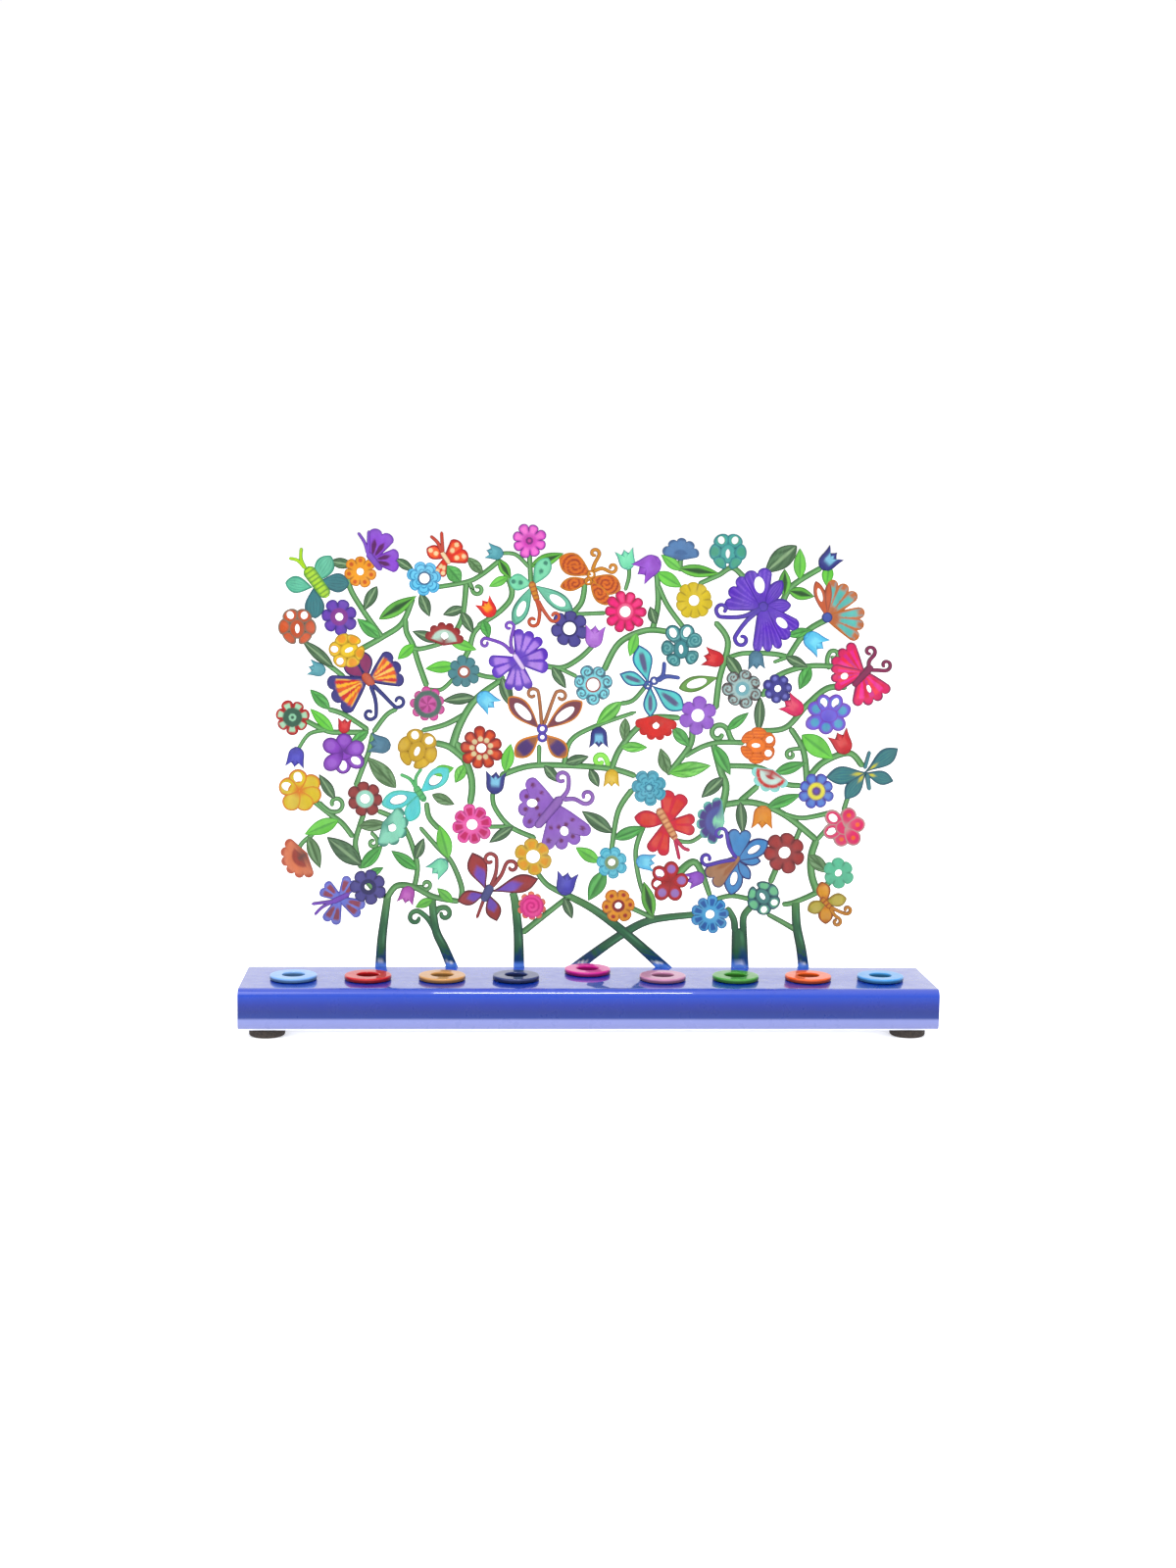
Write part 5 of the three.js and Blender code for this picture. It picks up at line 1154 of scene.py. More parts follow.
def tulips():
    tulip("teal_bud", -120.6, 136.6, 8, 165)
    tulip("red_bud", -112.4, 108.4, 7, 85)
    tulip("indigo_bud", -133.4, 102, 9.4, 262)
    tulip("slate_bud", -91, 102.4, 10, 168)
    tulip("magenta_bud", -82, 38, 8.6, 255)
    tulip("mint_bud", -65, 50, 9.4, 222)
    tulip("teal_bud", -40.4, 190.4, 8, 165)
    tulip("flame_bud", -44.6, 162.6, 9, 125)
    tulip("sky_bud", -51, 127.4, 10, -42)
    tulip("navy_bud", -43.4, 81, 10.6, 86)
    tulip("indigo_bud", -10.8, 34, 11, 80)
    tulip("lilac_bud", 1, 148.8, 10.4, 84)
    tulip("mint_bud", 17, 184.6, 9.4, 105)
    tulip("violet_bud", 31, 189.6, 12.4, 215)
    tulip("navy_bud", 4.4, 112.6, 9.8, 270)
    tulip("mustard_bud", 10.6, 93, 8.4, 270)
    tulip("sky_bud", 22.6, 50.4, 9, -8)
    tulip("violet_bud", 54.4, 43.4, 8.4, 200)
    tulip("red_bud", 61.4, 143.4, 9.8, 166)
    tulip("slate_bud", 76, 148.4, 8.8, 275)
    tulip("navy_bud", 105.2, 186.4, 10.4, 45)
    tulip("sky_bud", 98.8, 156, 11, -36)
    tulip("pink_bud", 98.6, 120, 10.4, 148)
    tulip("red_bud", 120, 101.2, 11, 117)
    tulip("amber_bud", 81.4, 76.6, 11, 268)


def butterflies():
    # mint and lime, top left
    wing("lime_mint", -125.4, 176.6, -118.2, 189, 8.8)
    wing("lime_mint", -126.4, 174.6, -138.6, 176.6, 7.8)
    wing("teal_wing", -123.4, 177.2, -109.8, 176.6, 8.8)
    wing("teal_wing", -126, 174.6, -125.2, 160.6, 9)
    vine("lime_body", 6.2, 5.4, [(-129.2, 183.6), (-119.6, 170.4)])
    vine("lime_body", 1.8, 1.5, [(-129.6, 183), (-131.6, 187.4), (-131.4, 192.4)])
    vine("lime_body", 1.8, 1.5, [(-129.6, 183), (-133, 186.6), (-137, 187.6)])
    # purple seen from the side, top left
    fan("violet_dark", -99.6, 187.6, -94.4, 200.6, 58, 2)
    fan("violet_dark", -99, 187.2, -87.2, 187.2, 62, 2)
    vine("violet_body", 3.4, 2.8, [(-101.8, 190.6), (-95.4, 182.8)])
    vine("violet_body", 1.6, 1.4, [(-101.4, 190), (-101.2, 200.6)])
    vine("violet_body", 1.6, 1.4, [(-101.6, 190), (-103, 195), (-106, 199.6)])
    # navy with orange rays, left
    wing("navy_plum", -101.6, 134, -103.2, 145.8, 6.6)
    wing("navy_plum", -102.4, 134, -112.4, 140.6, 6.6)
    fan("navy_orange", -100.6, 133, -86.6, 140, 78, 3)
    fan("navy_orange", -102.4, 133, -117.6, 124, 76, 3)
    vine("rust_body", 4.6, 4.2, [(-103.6, 135.8), (-98.8, 130.4)])
    curl("navy_body", 2, 1.5, [(-100.4, 131), (-98, 124)], -100.6, 117.4, 3, -1)
    curl("navy_body", 2, 1.5, [(-99.4, 131), (-94.6, 126.4)], -87.4, 123.4, 3, 1)
    # turquoise, left of the middle
    wing("turquoise", -77.6, 81.2, -95, 75.8, 8.8, (0.56, 3.8, 2))
    wing("turquoise", -77.4, 81.6, -64.4, 92.8, 8.8, (0.54, 3.4, 2.1))
    wing("turquoise", -78, 80.6, -82.6, 68, 7.4)
    vine("green_body", 3.4, 3, [(-79.8, 84.4), (-75, 77.4)])
    vine("green_body", 1.8, 1.5, [(-79.4, 83.6), (-82, 87.6), (-86.6, 89.8)])
    vine("green_body", 1.8, 1.5, [(-79.4, 83.6), (-79.4, 88.4), (-76.8, 92.6)])
    # lavender blue, bottom left
    fan("lilac_blue", -113.8, 32, -122.2, 37.6, 56, 2)
    fan("lilac_blue", -114, 31.8, -108.2, 41.4, 50, 2)
    fan("lilac_blue", -114.2, 32, -103.4, 26.2, 50, 2)
    fan("lilac_blue", -114.2, 32, -118.6, 20.4, 48, 2)
    vine("violet_body", 3, 2.6, [(-117.6, 30.4), (-109.6, 34.4)])
    vine("violet_body", 1.6, 1.4, [(-117, 30.8), (-127, 29.4)])
    vine("violet_body", 1.6, 1.4, [(-117, 30.6), (-122, 28), (-125.6, 24.4)])
    # red, top
    fan("red_wing", -66.6, 187.8, -57.6, 193.6, 84, 2)
    wing("red_wing", -66.6, 188.4, -75, 193, 6.6)
    fan("red_wing", -66.4, 188.4, -69.6, 180.6, 48, 2)
    vine("cream_body", 2.6, 2.2, [(-68.4, 191.6), (-64.6, 186)])
    vine("red_body", 1.8, 1.5, [(-68.2, 191), (-70, 195.4), (-73.4, 198.6)])
    vine("red_body", 1.8, 1.5, [(-67.8, 191), (-68.4, 200.6)])
    # mint dragonfly with curling tails
    wing("mint_wing", -26.4, 177, -19.8, 189.6, 7.8)
    wing("mint_wing", -27, 177.4, -37.8, 178.8, 7.8)
    wing("mint_loop", -26, 177, -8.4, 165.6, 7.8, (0.6, 4.2, 1.9))
    wing("mint_loop", -27.4, 176.6, -35.2, 158.6, 7.4, (0.58, 3.8, 1.7))
    vine("amber_body", 3.6, 2.8, [(-27.6, 178.6), (-24.6, 169.4)])
    curl("rust_body", 1.9, 1.5, [(-25.2, 171), (-23.6, 165)], -26.6, 160.6, 2.6, -1)
    curl("rust_body", 1.9, 1.5, [(-24.6, 170.4), (-21.8, 165.6)], -16.6, 163, 2.6, 1)
    # violet, with two curled feelers
    fan("violet_wing", -33, 142, -27.4, 156, 64, 3)
    fan("violet_wing", -33.4, 142.4, -19, 142.8, 56, 2)
    fan("violet_wing", -32.8, 143, -46, 138.8, 54, 2)
    fan("violet_wing", -33.6, 143.4, -32.6, 128.6, 60, 3)
    vine("pale_body", 2.6, 2.2, [(-35.2, 145.6), (-30.4, 138.6)])
    curl("violet_body", 1.8, 1.4, [(-35.6, 145.6), (-40, 150)], -48.2, 150.4, 2.2, 1)
    curl("violet_body", 1.8, 1.4, [(-35.2, 145.6), (-36.6, 151)], -37.4, 158.2, 2.2, 1)
    # orange with painted spirals
    wing("orange_spiral", 0, 181.8, -14.8, 189.8, 10.4)
    wing("orange_spiral", -0.4, 179.8, -14.4, 176.4, 6.4)
    wing("orange_spiral", -0.6, 181, 13.4, 175.6, 9.4)
    wing("orange_spiral", -1, 180, 7.6, 168.4, 6.8)
    disc("amber_body", -0.3, 182.2, 2.1, 1)
    disc("amber_body", -1.5, 179.2, 2, 0.9)
    curl("amber_body", 1.9, 1.5, [(0.2, 184), (1.4, 187.4)], 1.2, 191.8, 2.2, 1)
    curl("amber_body", 1.9, 1.5, [(0.8, 183.6), (4.6, 185)], 9.4, 185.4, 2.2, 1)
    # brown and orange with long curled feelers, middle
    wing("brown_loop", -23, 111.4, -37.4, 126, 9, (0.53, 5.2, 2.1))
    wing("brown_loop", -20.4, 111.4, -3.4, 124.2, 9, (0.53, 5.2, 2.1))
    wing("brown_wing", -22.8, 108.8, -34, 98.4, 8.6)
    wing("brown_wing", -20.2, 108.8, -10.4, 98.4, 8.6)
    disc("indigo_body", -21.7, 111.4, 2.6, 1.1)
    disc("indigo_body", -21.6, 107.5, 2.4, 1)
    curl("brown_body", 1.8, 1.5, [(-22, 113), (-22.6, 120)], -26.4, 127.4, 2.8, 1)
    curl("brown_body", 1.8, 1.5, [(-21, 113), (-18.6, 120)], -13.2, 126.4, 2.9, -1)
    # large purple, middle
    fan("purple_spots", -15, 76.2, -32.6, 77.4, 98, 4, (0.62, 2.4, 2))
    fan("purple_spots", -15.6, 76.4, -8, 56.4, 78, 4, (0.62, 2.3, 1.9))
    vine("purple_body", 4.8, 4, [(-12.4, 79.8), (-24, 65.6)])
    curl("purple_body", 2.2, 1.7, [(-12.6, 79), (-9.6, 83)], -12.4, 88.6, 3.2, 1)
    curl("purple_body", 2.2, 1.7, [(-12, 78.6), (-6.6, 79)], -0.8, 80.2, 3.6, 1)
    # maroon and violet, low in the middle
    wing("maroon_wing", -46.2, 34.6, -53.4, 53.8, 9.4, None, 0.66)
    wing("maroon_wing", -46, 35, -22.6, 41.6, 8.6, None, 0.66)
    wing("maroon_wing", -46, 35, -60.2, 31, 7.2)
    wing("maroon_wing", -46, 35.4, -41.6, 21.6, 7.4)
    vine("slate_body", 4.6, 4, [(-44.4, 38.6), (-48.2, 31)])
    vine("maroon_body", 1.8, 1.4, [(-47.6, 32.4), (-51, 23)])
    curl("maroon_body", 2, 1.6, [(-44.8, 37.6), (-42.4, 44)], -45.2, 50.6, 3.2, 1)
    curl("maroon_body", 2, 1.6, [(-44.4, 37.4), (-40, 43)], -35, 47.2, 3, -1)
    # turquoise and blue star, middle
    wing("blue_star", 27.2, 131, 22.2, 150.4, 9.2, None, 0.66)
    wing("blue_star", 28.4, 131.6, 13.4, 137, 6.8)
    wing("blue_star", 27.4, 132.6, 43.6, 120.6, 9.2, None, 0.66)
    wing("blue_star", 27.6, 133, 28, 117, 6.6)
    disc("blue_body", 26.6, 132, 2.1, 1)
    disc("blue_body", 29.5, 134, 2, 0.9)
    vine("blue_body", 2.2, 1.8, [(30, 134), (33.4, 136.6), (34, 142.8)])
    vine("blue_body", 2.2, 1.8, [(31, 133.8), (35, 136), (41.4, 135.4)])
    wing("olive_loop", 59.2, 136, 41, 130.6, 7.2, (0.55, 4.8, 2))
    # crimson with an orange body, right of the middle
    fan("crimson_wing", 36, 67.2, 40.8, 82.8, 56, 2)
    fan("crimson_wing", 36, 67.4, 50, 67.4, 50, 2)
    wing("crimson_wing", 37, 68.6, 21.4, 70.6, 8.2)
    fan("crimson_wing", 37, 68.6, 31.8, 53.4, 46, 2)
    vine("tan_body", 4, 3.4, [(32.4, 74.8), (41, 60.4)])
    vine("crimson_body", 1.8, 1.6, [(40.6, 61), (44.4, 56.6), (47.6, 55.4)])
    vine("crimson_body", 1.8, 1.6, [(40.4, 61), (42.8, 51)])
    # blue and brown, low on the right
    fan("blue_brown", 69.6, 49.6, 71, 65.6, 46, 2)
    wing("blue_brown", 69.4, 50.6, 84, 60, 8.8, (0.56, 3.2, 1.5))
    fan("brown_blue", 70.8, 52.4, 56.8, 41, 44, 2)
    wing("blue_brown", 70.2, 52.4, 67.2, 34.4, 9, (0.57, 3.2, 1.6))
    wing("blue_brown", 69, 51.4, 81, 50.4, 5.4)
    wing("blue_brown", 69.4, 51.6, 76, 41.8, 5.4)
    curl("indigo_body", 2, 1.6, [(69.6, 51.6), (66, 57)], 61.6, 63.2, 3, 1)
    curl("indigo_body", 2, 1.6, [(69.2, 51.2), (63, 50.2)], 55.6, 51.4, 3, -1)
    # large indigo with curled feelers, top right
    fan("indigo_wing", 79.8, 168.2, 63, 176.2, 62, 3)
    fan("indigo_wing", 79.4, 167.2, 75.6, 186, 46, 2, (0.6, 3.8, 2.4))
    wing("indigo_wing", 79, 167.6, 87.6, 180.8, 6.8)
    wing("indigo_wing", 78.6, 168.4, 92, 169.4, 6.8)
    fan("indigo_wing", 78.6, 169.2, 93.6, 156.4, 40, 2, (0.62, 3.2, 1.8))
    fan("indigo_wing", 78.4, 170.4, 82, 148, 40, 3)
    disc("indigo_body", 79, 168.6, 2.4)
    curl("indigo_body", 2.2, 1.7, [(78, 168), (70, 164)], 60.2, 167, 3.4, -1)
    curl("indigo_body", 2.2, 1.7, [(78, 167.6), (71.6, 162)], 69.6, 153.4, 3.4, 1)
    # orange and teal, top right
    fan("orange_teal", 108.6, 163.6, 117.2, 179.4, 60, 3)
    fan("orange_teal", 108.4, 164.2, 126, 160.4, 60, 3)
    wing("rust_grey", 108.6, 164, 103.2, 180.6, 5.4, (0.62, 3.2, 1.1))
    wing("rust_grey", 108.8, 164, 109.2, 180.4, 3.6)
    disc("blue_body", 108.8, 164, 2.4)
    # crimson and magenta, right
    fan("magenta_wing", 126.4, 137.4, 114.8, 149.4, 58, 3)
    fan("magenta_wing", 126.4, 138.8, 111.4, 135.8, 56, 3, (0.58, 1.8, 1.5))
    fan("magenta_wing", 125.6, 139.6, 132.4, 124.6, 80, 4, (0.55, 1.9, 1))
    vine("plum_body", 3.8, 3, [(130.4, 142), (121.8, 132.6)])
    curl("plum_body", 1.9, 1.5, [(129, 140.6), (129, 144)], 129.2, 148.6, 2.6, 1)
    curl("plum_body", 1.9, 1.5, [(129.8, 140), (133, 140)], 136.8, 142.4, 2.6, 1)
    # teal and yellow star, right
    wing("teal_star", 127.6, 91.6, 143.8, 103.8, 7.8, None, 0.66)
    wing("teal_star", 127.6, 92.4, 142.2, 88.4, 6.6)
    wing("teal_star", 131, 92.4, 110.4, 90, 8.6, None, 0.64)
    wing("teal_star", 129.6, 93.6, 119.6, 79.6, 7.4)
    vine("teal_body", 2.4, 1.8, [(129.6, 91.8), (131, 84)])
    vine("teal_body", 1.8, 1.6, [(128.4, 94), (130.6, 102.4)])
    # orange and green, bottom right
    wing("orange_green", 112, 30.4, 109.8, 40.8, 7)
    wing("green_orange", 111.4, 31, 121.8, 33, 6.4)
    wing("orange_green", 112, 32, 112.2, 20.8, 7)
    wing("green_orange", 112.8, 31.4, 103.6, 27, 6.4)
    vine("amber_body", 3, 2.6, [(109.6, 33.4), (114.4, 28.6)])
    curl("amber_body", 1.8, 1.5, [(114.2, 29), (118, 27)], 122.2, 27.6, 2, 1)
    curl("amber_body", 1.8, 1.5, [(114, 28.6), (116.4, 25)], 117.4, 21.8, 2, -1)


# ---------------------------------------------------------------- materials

# Ripple and grain are each a size and a depth in metres. Uneven scales the streaks, and light the paint.
Gloss = namedtuple("Gloss", "roughness shine coat_weight coat_roughness coat_ior ripple grain uneven light")
BASE_GLOSS = Gloss(roughness=0.3, shine=0.3, coat_weight=1.0, coat_roughness=0.04, coat_ior=1.75,
                   ripple=(0.05, 0.00014), grain=(0.006, 0.0000006), uneven=0.08, light=1.0)
CUP_GLOSS = Gloss(roughness=0.36, shine=0.3, coat_weight=0.7, coat_roughness=0.08, coat_ior=1.45,
                  ripple=(0.02, 0.00006), grain=(0.0009, 0.000002), uneven=0.4, light=0.92)
PANEL_GLOSS = Gloss(roughness=0.36, shine=0.22, coat_weight=0.25, coat_roughness=0.12, coat_ior=1.5,
                    ripple=(0.01, 0.00008), grain=(0.0008, 0.000012), uneven=0.8, light=0.68)


def make_material(name, gloss, bands=None, thin=None):
    """Painted metal: streaks in the colour, an uneven gloss, and ripples and grain in the surface.

    The paint is the mesh's own paint attribute, or else bands that change with the height, given as pairs
    of millimetres and colour; such bands carry the painted reflections on the base and the painted shade on
    the cups' sides. With bands, thin gives the coat's weight below a first height in millimetres.
    It has its full weight above the second.
    """
    material = bpy.data.materials.new(name)
    material.use_nodes = True
    nodes = material.node_tree.nodes
    links = material.node_tree.links
    shader = nodes["Principled BSDF"]
    shader.inputs["Specular IOR Level"].default_value = gloss.shine
    shader.inputs["Coat Weight"].default_value = gloss.coat_weight
    shader.inputs["Coat Roughness"].default_value = gloss.coat_roughness
    shader.inputs["Coat IOR"].default_value = gloss.coat_ior
    place = nodes.new("ShaderNodeTexCoord").outputs["Object"]

    def noise(size, detail, stretch=(1, 1, 1)):
        """Soft blotches of a size in metres. Their values lie mostly between 0.3 and 0.7."""
        mapping = nodes.new("ShaderNodeMapping")
        mapping.inputs["Scale"].default_value = stretch
        texture = nodes.new("ShaderNodeTexNoise")
        texture.inputs["Scale"].default_value = 1 / size
        texture.inputs["Detail"].default_value = detail
        links.new(place, mapping.inputs["Vector"])
        links.new(mapping.outputs["Vector"], texture.inputs["Vector"])
        return texture.outputs["Fac"]

    def spread(value, low, high, begin=0.3, end=0.7):
        """The value, stretched so that begin becomes low and end becomes high."""
        node = nodes.new("ShaderNodeMapRange")
        node.inputs["From Min"].default_value = begin
        node.inputs["From Max"].default_value = end
        node.inputs["To Min"].default_value = low
        node.inputs["To Max"].default_value = high
        links.new(value, node.inputs["Value"])
        return node.outputs["Result"]

    tone = nodes.new("ShaderNodeHueSaturation")
    if bands is None:
        paint = nodes.new("ShaderNodeAttribute")
        paint.attribute_name = "paint"
        links.new(paint.outputs["Color"], tone.inputs["Color"])
    else:
        height = nodes.new("ShaderNodeSeparateXYZ")
        ramp = nodes.new("ShaderNodeValToRGB")
        links.new(place, height.inputs["Vector"])
        links.new(spread(height.outputs["Z"], 0, 1, 0, 2 * PLATE_TOP), ramp.inputs["Fac"])
        stops = ramp.color_ramp.elements
        while len(stops) < len(bands):
            stops.new(0.5)
        for stop, (level, shade) in zip(stops, bands):
            stop.position = level / (2 * BASE_TOP)
            stop.color = (*shade, 1)
        links.new(ramp.outputs["Color"], tone.inputs["Color"])
        weight, low, high = thin
        coat = spread(height.outputs["Z"], weight, gloss.coat_weight, low * MM, high * MM)
        links.new(coat, shader.inputs["Coat Weight"])
    streaks = noise(0.0035, 4, (1, 1, 0.45))
    darkest = gloss.light * (1 - 0.14 * gloss.uneven)
    lightest = gloss.light * (1 + 0.12 * gloss.uneven)
    links.new(spread(streaks, darkest, lightest), tone.inputs["Value"])
    rich = spread(noise(0.009, 2), 1.06 - 0.07 * gloss.uneven, 1.06 + 0.06 * gloss.uneven)
    links.new(rich, tone.inputs["Saturation"])
    links.new(tone.outputs["Color"], shader.inputs["Base Color"])
    rough = spread(noise(0.006, 3), gloss.roughness - 0.06, gloss.roughness + 0.08)
    links.new(rough, shader.inputs["Roughness"])

    normal = shader.inputs["Normal"]
    for (size, relief), detail in ((gloss.grain, 3), (gloss.ripple, 1)):
        bump = nodes.new("ShaderNodeBump")
        bump.inputs["Strength"].default_value = 1.0
        bump.inputs["Distance"].default_value = relief
        links.new(noise(size, detail), bump.inputs["Height"])
        links.new(bump.outputs["Normal"], normal)
        normal = bump.inputs["Normal"]
    return material


def rubber_material():
    """Dull black-brown rubber with a fine speckle."""
    material = bpy.data.materials.new("foot_rubber")
    material.use_nodes = True
    nodes = material.node_tree.nodes
    links = material.node_tree.links
    shader = nodes["Principled BSDF"]
    place = nodes.new("ShaderNodeTexCoord").outputs["Object"]
    speckle = nodes.new("ShaderNodeTexNoise")
    speckle.inputs["Scale"].default_value = 1500
    speckle.inputs["Detail"].default_value = 5
    links.new(place, speckle.inputs["Vector"])
    ramp = nodes.new("ShaderNodeValToRGB")
    ramp.color_ramp.elements[0].position = 0.35
    ramp.color_ramp.elements[0].color = (*rgb(24, 20, 18), 1)
    ramp.color_ramp.elements[1].position = 0.7
    ramp.color_ramp.elements[1].color = (*rgb(64, 52, 44), 1)
    links.new(speckle.outputs["Fac"], ramp.inputs["Fac"])
    links.new(ramp.outputs["Color"], shader.inputs["Base Color"])
    dull = nodes.new("ShaderNodeMapRange")
    dull.inputs["To Min"].default_value = 0.65
    dull.inputs["To Max"].default_value = 0.95
    links.new(speckle.outputs["Fac"], dull.inputs["Value"])
    links.new(dull.outputs["Result"], shader.inputs["Roughness"])
    bump = nodes.new("ShaderNodeBump")
    bump.inputs["Strength"].default_value = 0.6
    bump.inputs["Distance"].default_value = 0.0002
    links.new(speckle.outputs["Fac"], bump.inputs["Height"])
    links.new(bump.outputs["Normal"], shader.inputs["Normal"])
    return material


# ---------------------------------------------------------------- base, cups and feet

def mesh_piece(name, vertices, faces, material):
    """An object from vertices in millimetres, smooth but for its sharp edges."""
    mesh = bpy.data.meshes.new(name)
    mesh.from_pydata([tuple(c * MM for c in v) for v in vertices], [], faces)
    mesh.materials.append(material)
    mesh.shade_smooth()
    mesh.set_sharp_from_angle(angle=math.radians(40))
    piece = bpy.data.objects.new(name, mesh)
    bpy.context.scene.collection.objects.link(piece)
    return piece


def arc(across, z, radius, start, end, steps):
    """Points along an arc about (across, z), with angles in degrees from level towards up."""
    turns = [math.radians(start + (end - start) * step / steps) for step in range(steps + 1)]
    return [(across + radius * math.cos(t), z + radius * math.sin(t)) for t in turns]


def channel_section(inset):
    """The bent sheet's outline, anticlockwise, drawn in by an inset on both of its faces."""
    steps = 10
    half = BASE_DEPTH / 2
    low = BASE_LOW + BASE_BEND
    high = BASE_TOP - BASE_BEND
    lip = half - BASE_LIP + inset
    out = BASE_BEND - inset
    into = BASE_BEND - SHEET + inset
    side = half - BASE_BEND
    support = 0.6
    return [
        (lip, BASE_LOW + inset),
        (side - support, BASE_LOW + inset), *arc(side, low, out, -90, 0, steps),
        *arc(side, high, out, 0, 90, steps), (side - support, high + out),
        (support - side, high + out), *arc(-side, high, out, 90, 180, steps),
        *arc(-side, low, out, 180, 270, steps), (support - side, BASE_LOW + inset),
        (-lip, BASE_LOW + inset),
        (-lip, BASE_LOW + SHEET - inset),
        (support - side, BASE_LOW + SHEET - inset), *arc(-side, low, into, 270, 180, steps),
        *arc(-side, high, into, 180, 90, steps), (support - side, high + into),
        (side - support, high + into), *arc(side, high, into, 90, 0, steps),
        *arc(side, low, into, 0, -90, steps), (side - support, BASE_LOW + SHEET - inset),
        (lip, BASE_LOW + SHEET - inset),
    ]


def base_channel(material):
    """The bent sheet: a channel open below and at its ends, with nine round holes and a slot per stem."""
    half = BASE_LENGTH / 2
    edge = 0.45
    ends = [(-half, edge), (-half + 0.3 * edge, 0.3 * edge), (-half + edge, 0)]
    stations = ends + [(-x, inset) for x, inset in reversed(ends)]
    sections = [[(x, y, z) for y, z in channel_section(inset)] for x, inset in stations]
    size = len(sections[0])
    vertices = [corner for section in sections for corner in section]
    faces = []
    for step in range(len(sections) - 1):
        for a in range(size):
            b = (a + 1) % size
            faces.append((step * size + a, step * size + b, (step + 1) * size + b, (step + 1) * size + a))
    inner = size // 2
    for a in range(inner - 1):
        b = size - 1 - a
        faces.append((a + 1, a, b, b - 1))
        last = (len(sections) - 1) * size
        faces.append((last + a, last + a + 1, last + b - 1, last + b))
    base = mesh_piece("base", vertices, faces, material)
    cutters = [round_cutter(*middle_of(cup), CUP_HOLE) for cup in CUPS]
    cutters += [slot_cutter(x) for x in STEM_FEET]
    for cutter in cutters:
        cut = base.modifiers.new("cut", "BOOLEAN")
        cut.object = cutter
        cut.solver = "EXACT"
    depsgraph = bpy.context.evaluated_depsgraph_get()
    cut_mesh = bpy.data.meshes.new_from_object(base.evaluated_get(depsgraph))
    base.modifiers.clear()
    base.data = cut_mesh
    cut_mesh.shade_smooth()
    cut_mesh.set_sharp_from_angle(angle=math.radians(30))
    for cutter in cutters:
        bpy.data.objects.remove(cutter)
    return base


def plate_cutter(outline):
    """An upright prism that cuts its outline, in millimetres, out of the base's top."""
    count = len(outline)
    heights = (BASE_TOP - 2 * SHEET, BASE_TOP + SHEET)
    vertices = [(x * MM, y * MM, z * MM) for z in heights for x, y in outline]
    faces = [tuple(range(count))[::-1], tuple(range(count, 2 * count))]
    faces += [(a, (a + 1) % count, count + (a + 1) % count, count + a) for a in range(count)]
    mesh = bpy.data.meshes.new("cutter")
    mesh.from_pydata(vertices, [], faces)
    cutter = bpy.data.objects.new("cutter", mesh)
    bpy.context.scene.collection.objects.link(cutter)
    return cutter


def round_cutter(x, y, radius):
    sides = 64
    turns = [2 * math.pi * side / sides for side in range(sides)]
    return plate_cutter([(x + radius * math.cos(turn), y + radius * math.sin(turn)) for turn in turns])


def slot_cutter(x):
    half = (TAB_WIDTH + 2 * GAP) / 2
    middle = PANEL_MIDDLE / MM
    reach = SHEET / 2 + GAP
    return plate_cutter([(x - half, middle - reach), (x + half, middle - reach),
                         (x + half, middle + reach), (x - half, middle + reach)])


def middle_of(node):
    """Where a CAD node stands on the plan, in millimetres."""
    low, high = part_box(node)
    return (low[0] + high[0]) / 2 / MM, (low[1] + high[1]) / 2 / MM


def turned(name, x, y, profile, material, sides=72):
    """A piece turned about the vertical through x, y, from radius and height pairs that start on the axis."""
    vertices = []
    rows = []
    for radius, z in profile:
        if radius == 0:
            rows.append([len(vertices)] * sides)
            vertices.append((x, y, z))
            continue
        rows.append(list(range(len(vertices), len(vertices) + sides)))
        for step in range(sides):
            turn = 2 * math.pi * step / sides
            vertices.append((x + radius * math.cos(turn), y + radius * math.sin(turn), z))
    faces = []
    for low, high in zip(rows, rows[1:]):
        for a in range(sides):
            b = (a + 1) % sides
            corners = []
            for vertex in (low[a], low[b], high[b], high[a]):
                if vertex not in corners:
                    corners.append(vertex)
            faces.append(corners)
    return mesh_piece(name, vertices, faces, material)


def candle_cup(node, name, material):
    """A flat ring on the plate over a closed tube that holds the candle's end."""
    low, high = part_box(node)
    x, y = middle_of(node)
    top = high[2] / MM
    bottom = low[2] / MM
    under = top - FLANGE_HEIGHT
    ring = (high[0] - low[0]) / 2 / MM
    profile = [
        (0, bottom), (CUP_TUBE - 0.6, bottom), *arc(CUP_TUBE - 0.5, bottom + 0.5, 0.5, -90, 0, 5),
        (CUP_TUBE, under), (ring - 0.4, under), *arc(ring - 0.3, under + 0.3, 0.3, -90, 0, 3),
        *arc(ring - 0.45, top - 0.45, 0.45, 0, 90, 5), (ring - 0.8, top),
        (CUP_BORE + 0.7, top), *arc(CUP_BORE + 0.4, top - 0.4, 0.4, 90, 180, 5),
        (CUP_BORE, bottom + CUP_FLOOR + 0.5), (CUP_BORE - 0.5, bottom + CUP_FLOOR), (0, bottom + CUP_FLOOR),
    ]
    return turned(name, x, y, profile, material)


def rubber_foot(node, material):
    """A round foot with a slightly hollow sole."""
    low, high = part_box(node)
    x, y = middle_of(node)
    radius = (high[0] - low[0]) / 2 / MM
    top = high[2] / MM
    profile = [
        (0, 0), (radius * 0.55, 0), (radius * 0.6, 0.15), (radius - 1.1, 0.15),
        *arc(radius - 1, 1.15, 1, -90, 0, 5), (radius, top - 0.5),
        *arc(radius - 0.4, top - 0.4, 0.4, 0, 90, 5),
        (0, top),
    ]
    return turned(node + "_rubber", x, y, profile, material, sides=64)
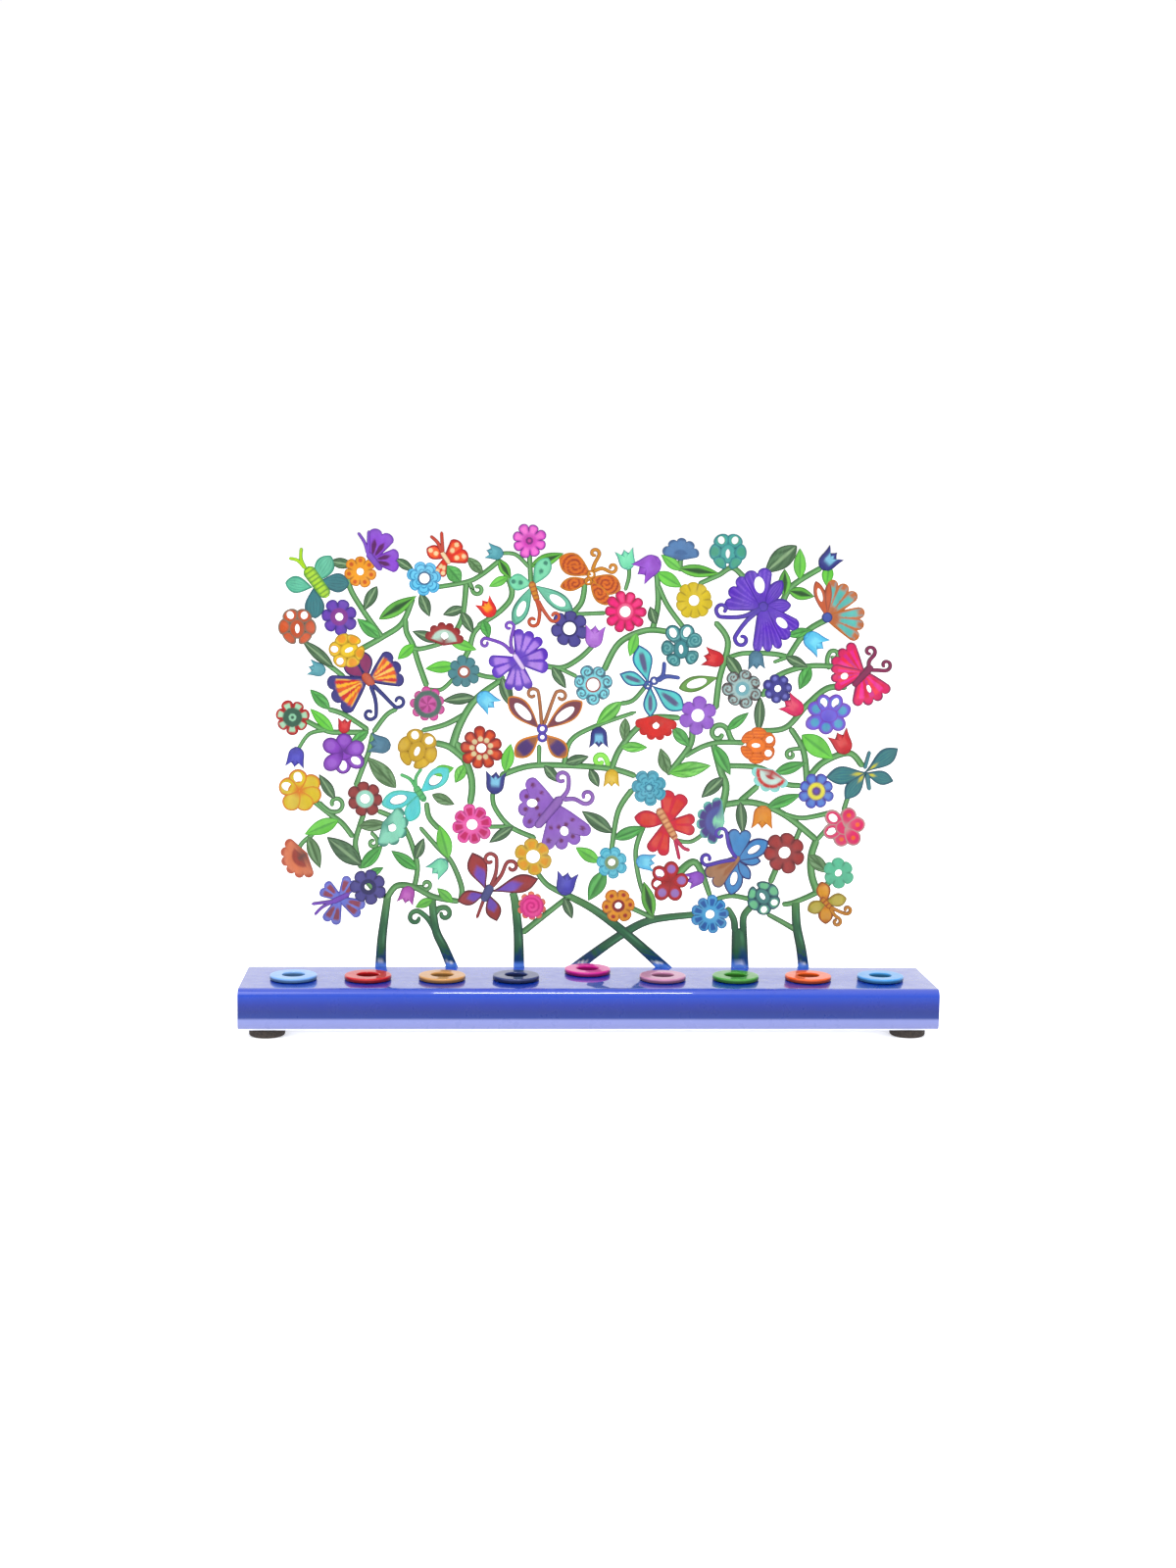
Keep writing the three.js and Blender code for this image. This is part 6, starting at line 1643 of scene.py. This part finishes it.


# The lacquer's colour by height in mm, with painted light in it: a painted white highlight along the
# bottom bend, and a pale and a dark band of painted reflection that stand for what the front reflects.
BASE_BANDS_WITH_REFLECTIONS = [
    (BASE_LOW + 0.7, rgb(225, 228, 240)), (BASE_LOW + 1.3, rgb(122, 128, 176)), (9.2, rgb(122, 130, 184)),
    (10.2, rgb(34, 54, 124)), (13.0, rgb(4, 34, 116)), (16.0, rgb(2, 34, 132)), (20.4, rgb(20, 60, 168)),
    (23.2, rgb(20, 58, 178)),
]
# the base's material: the lacquer's blue on top, with the painted highlight and painted reflection bands
# below
lacquer = make_material("base_lacquer", BASE_GLOSS, BASE_BANDS_WITH_REFLECTIONS, (0.15, BASE_TOP - 3.2, BASE_TOP - 1.2))
base = base_channel(lacquer)
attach(base, "root")
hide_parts("base_channel")

CUP_PAINT = {
    "pale_blue": rgb(132, 178, 236),
    "red": rgb(200, 14, 22),
    "tan": rgb(205, 150, 92),
    "slate_blue": rgb(44, 58, 112),
    "magenta": rgb(212, 30, 146),
    "mauve": rgb(196, 134, 170),
    "green": rgb(72, 156, 58),
    "orange": rgb(238, 92, 22),
    "sky_blue": rgb(86, 160, 222),
}
for node, (name, colour) in zip(CUPS, CUP_PAINT.items()):
    # painted shade: below its top, each cup's ring side and tube are painted at a third of the cup's colour
    painted_side_shade = [(RING_TOP - 0.8, mix((0, 0, 0), colour, 0.32)), (RING_TOP - 0.15, colour)]
    paint = make_material("cup_" + name, CUP_GLOSS, painted_side_shade, (0.1, RING_TOP - 0.8, RING_TOP - 0.1))
    cup = candle_cup(node, node.replace("candle_cup", "cup"), paint)
    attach(cup, "root")
    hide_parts(node)

rubber = rubber_material()
for node in FEET:
    foot_piece = rubber_foot(node, rubber)
    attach(foot_piece, "root")
    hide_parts(node)


def tabs():
    """The tongues that carry the panel down through the slots of the base."""
    half = TAB_WIDTH / 2
    for x in STEM_FEET:
        outline = [(x - half, -TAB_DEPTH), (x + half, -TAB_DEPTH), (x + half, 0.3), (x - half, 0.3)]
        spine = [(x, -TAB_DEPTH + half), (x, -TAB_DEPTH + half), (x, 0.3 - half), (x, 0.3 - half)]
        stem_sheet.slab(outline, spine, lambda number, inward, depth, place: BASE_BLUE, rings=2)


# The order of these calls decides which motif lies over which.
tabs()
stems()
vines()
tendrils()
leaves()
flowers()
orchids()
side_flowers()
tulips()
butterflies()

panel_paint = make_material("panel_paint", PANEL_GLOSS)
for sheet in (stem_sheet, leaf_sheet, wing_sheet, flower_sheet, bloom_sheet, body_sheet):
    piece = sheet.build(panel_paint)
    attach(piece, "root")
    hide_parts("tree_panel")


# ---------------------------------------------------------------- floor, lights and camera

def studio():
    """A white light table under white light from all round, with a long strip light and a soft fill.

    The strip draws the thin white line along the bend at the front of the base.
    """
    world = bpy.data.worlds.new("studio")
    world.use_nodes = True
    world.node_tree.nodes["Background"].inputs["Color"].default_value = (1, 1, 1, 1)
    world.node_tree.nodes["Background"].inputs["Strength"].default_value = 1.02
    bpy.context.scene.world = world

    reach = 30.0
    mesh = bpy.data.meshes.new("floor")
    mesh.from_pydata([(-reach, -reach, 0), (reach, -reach, 0), (reach, reach, 0), (-reach, reach, 0)], [],
                     [(0, 1, 2, 3)])
    floor = bpy.data.objects.new("floor", mesh)
    bpy.context.scene.collection.objects.link(floor)
    white = bpy.data.materials.new("white_floor")
    white.use_nodes = True
    shader = white.node_tree.nodes["Principled BSDF"]
    shader.inputs["Base Color"].default_value = (0.95, 0.95, 0.95, 1)
    shader.inputs["Roughness"].default_value = 0.9
    shader.inputs["Specular IOR Level"].default_value = 0.1
    shader.inputs["Emission Color"].default_value = (1, 1, 1, 1)
    shader.inputs["Emission Strength"].default_value = 0.45
    mesh.materials.append(white)

    for name, place, long, wide, power in (
        ("fill", (-0.9, -0.7, 1.0), 0.8, 0.8, 3),
        ("strip", (0.02, -0.9, 1.3), 0.75, 0.2, 13),
    ):
        data = bpy.data.lights.new(name, "AREA")
        data.shape = "RECTANGLE"
        data.size = long
        data.size_y = wide
        data.energy = power
        light = bpy.data.objects.new(name, data)
        light.location = place
        aim = Vector((place[0] if name == "strip" else 0, 0, 0.1))
        light.rotation_euler = (aim - Vector(place)).to_track_quat("-Z", "Y").to_euler()
        bpy.context.scene.collection.objects.link(light)


def camera():
    """In front, a little to the left and above, looking slightly down at the middle of the object."""
    place = Vector((-0.0603, -0.9141, 0.2203))
    turn = 0.064    # radians to the right of straight ahead
    tilt = 0.118    # radians down from level
    roll = 0.015
    forward = Vector((math.sin(turn) * math.cos(tilt), math.cos(turn) * math.cos(tilt), -math.sin(tilt)))
    level = Vector((math.cos(turn), -math.sin(turn), 0))
    upright = level.cross(forward)
    right = level * math.cos(roll) + upright * math.sin(roll)
    up = upright * math.cos(roll) - level * math.sin(roll)
    data = bpy.data.cameras.new("camera")
    data.lens = 47.05
    data.sensor_width = 36
    data.clip_start = 0.01
    data.clip_end = 100
    view = bpy.data.objects.new("camera", data)
    axes = Matrix((right, up, -forward)).transposed()
    view.matrix_world = Matrix.Translation(place) @ axes.to_4x4()
    bpy.context.scene.collection.objects.link(view)
    bpy.context.scene.camera = view


studio()
camera()
bpy.context.scene.view_settings.view_transform = "Standard"
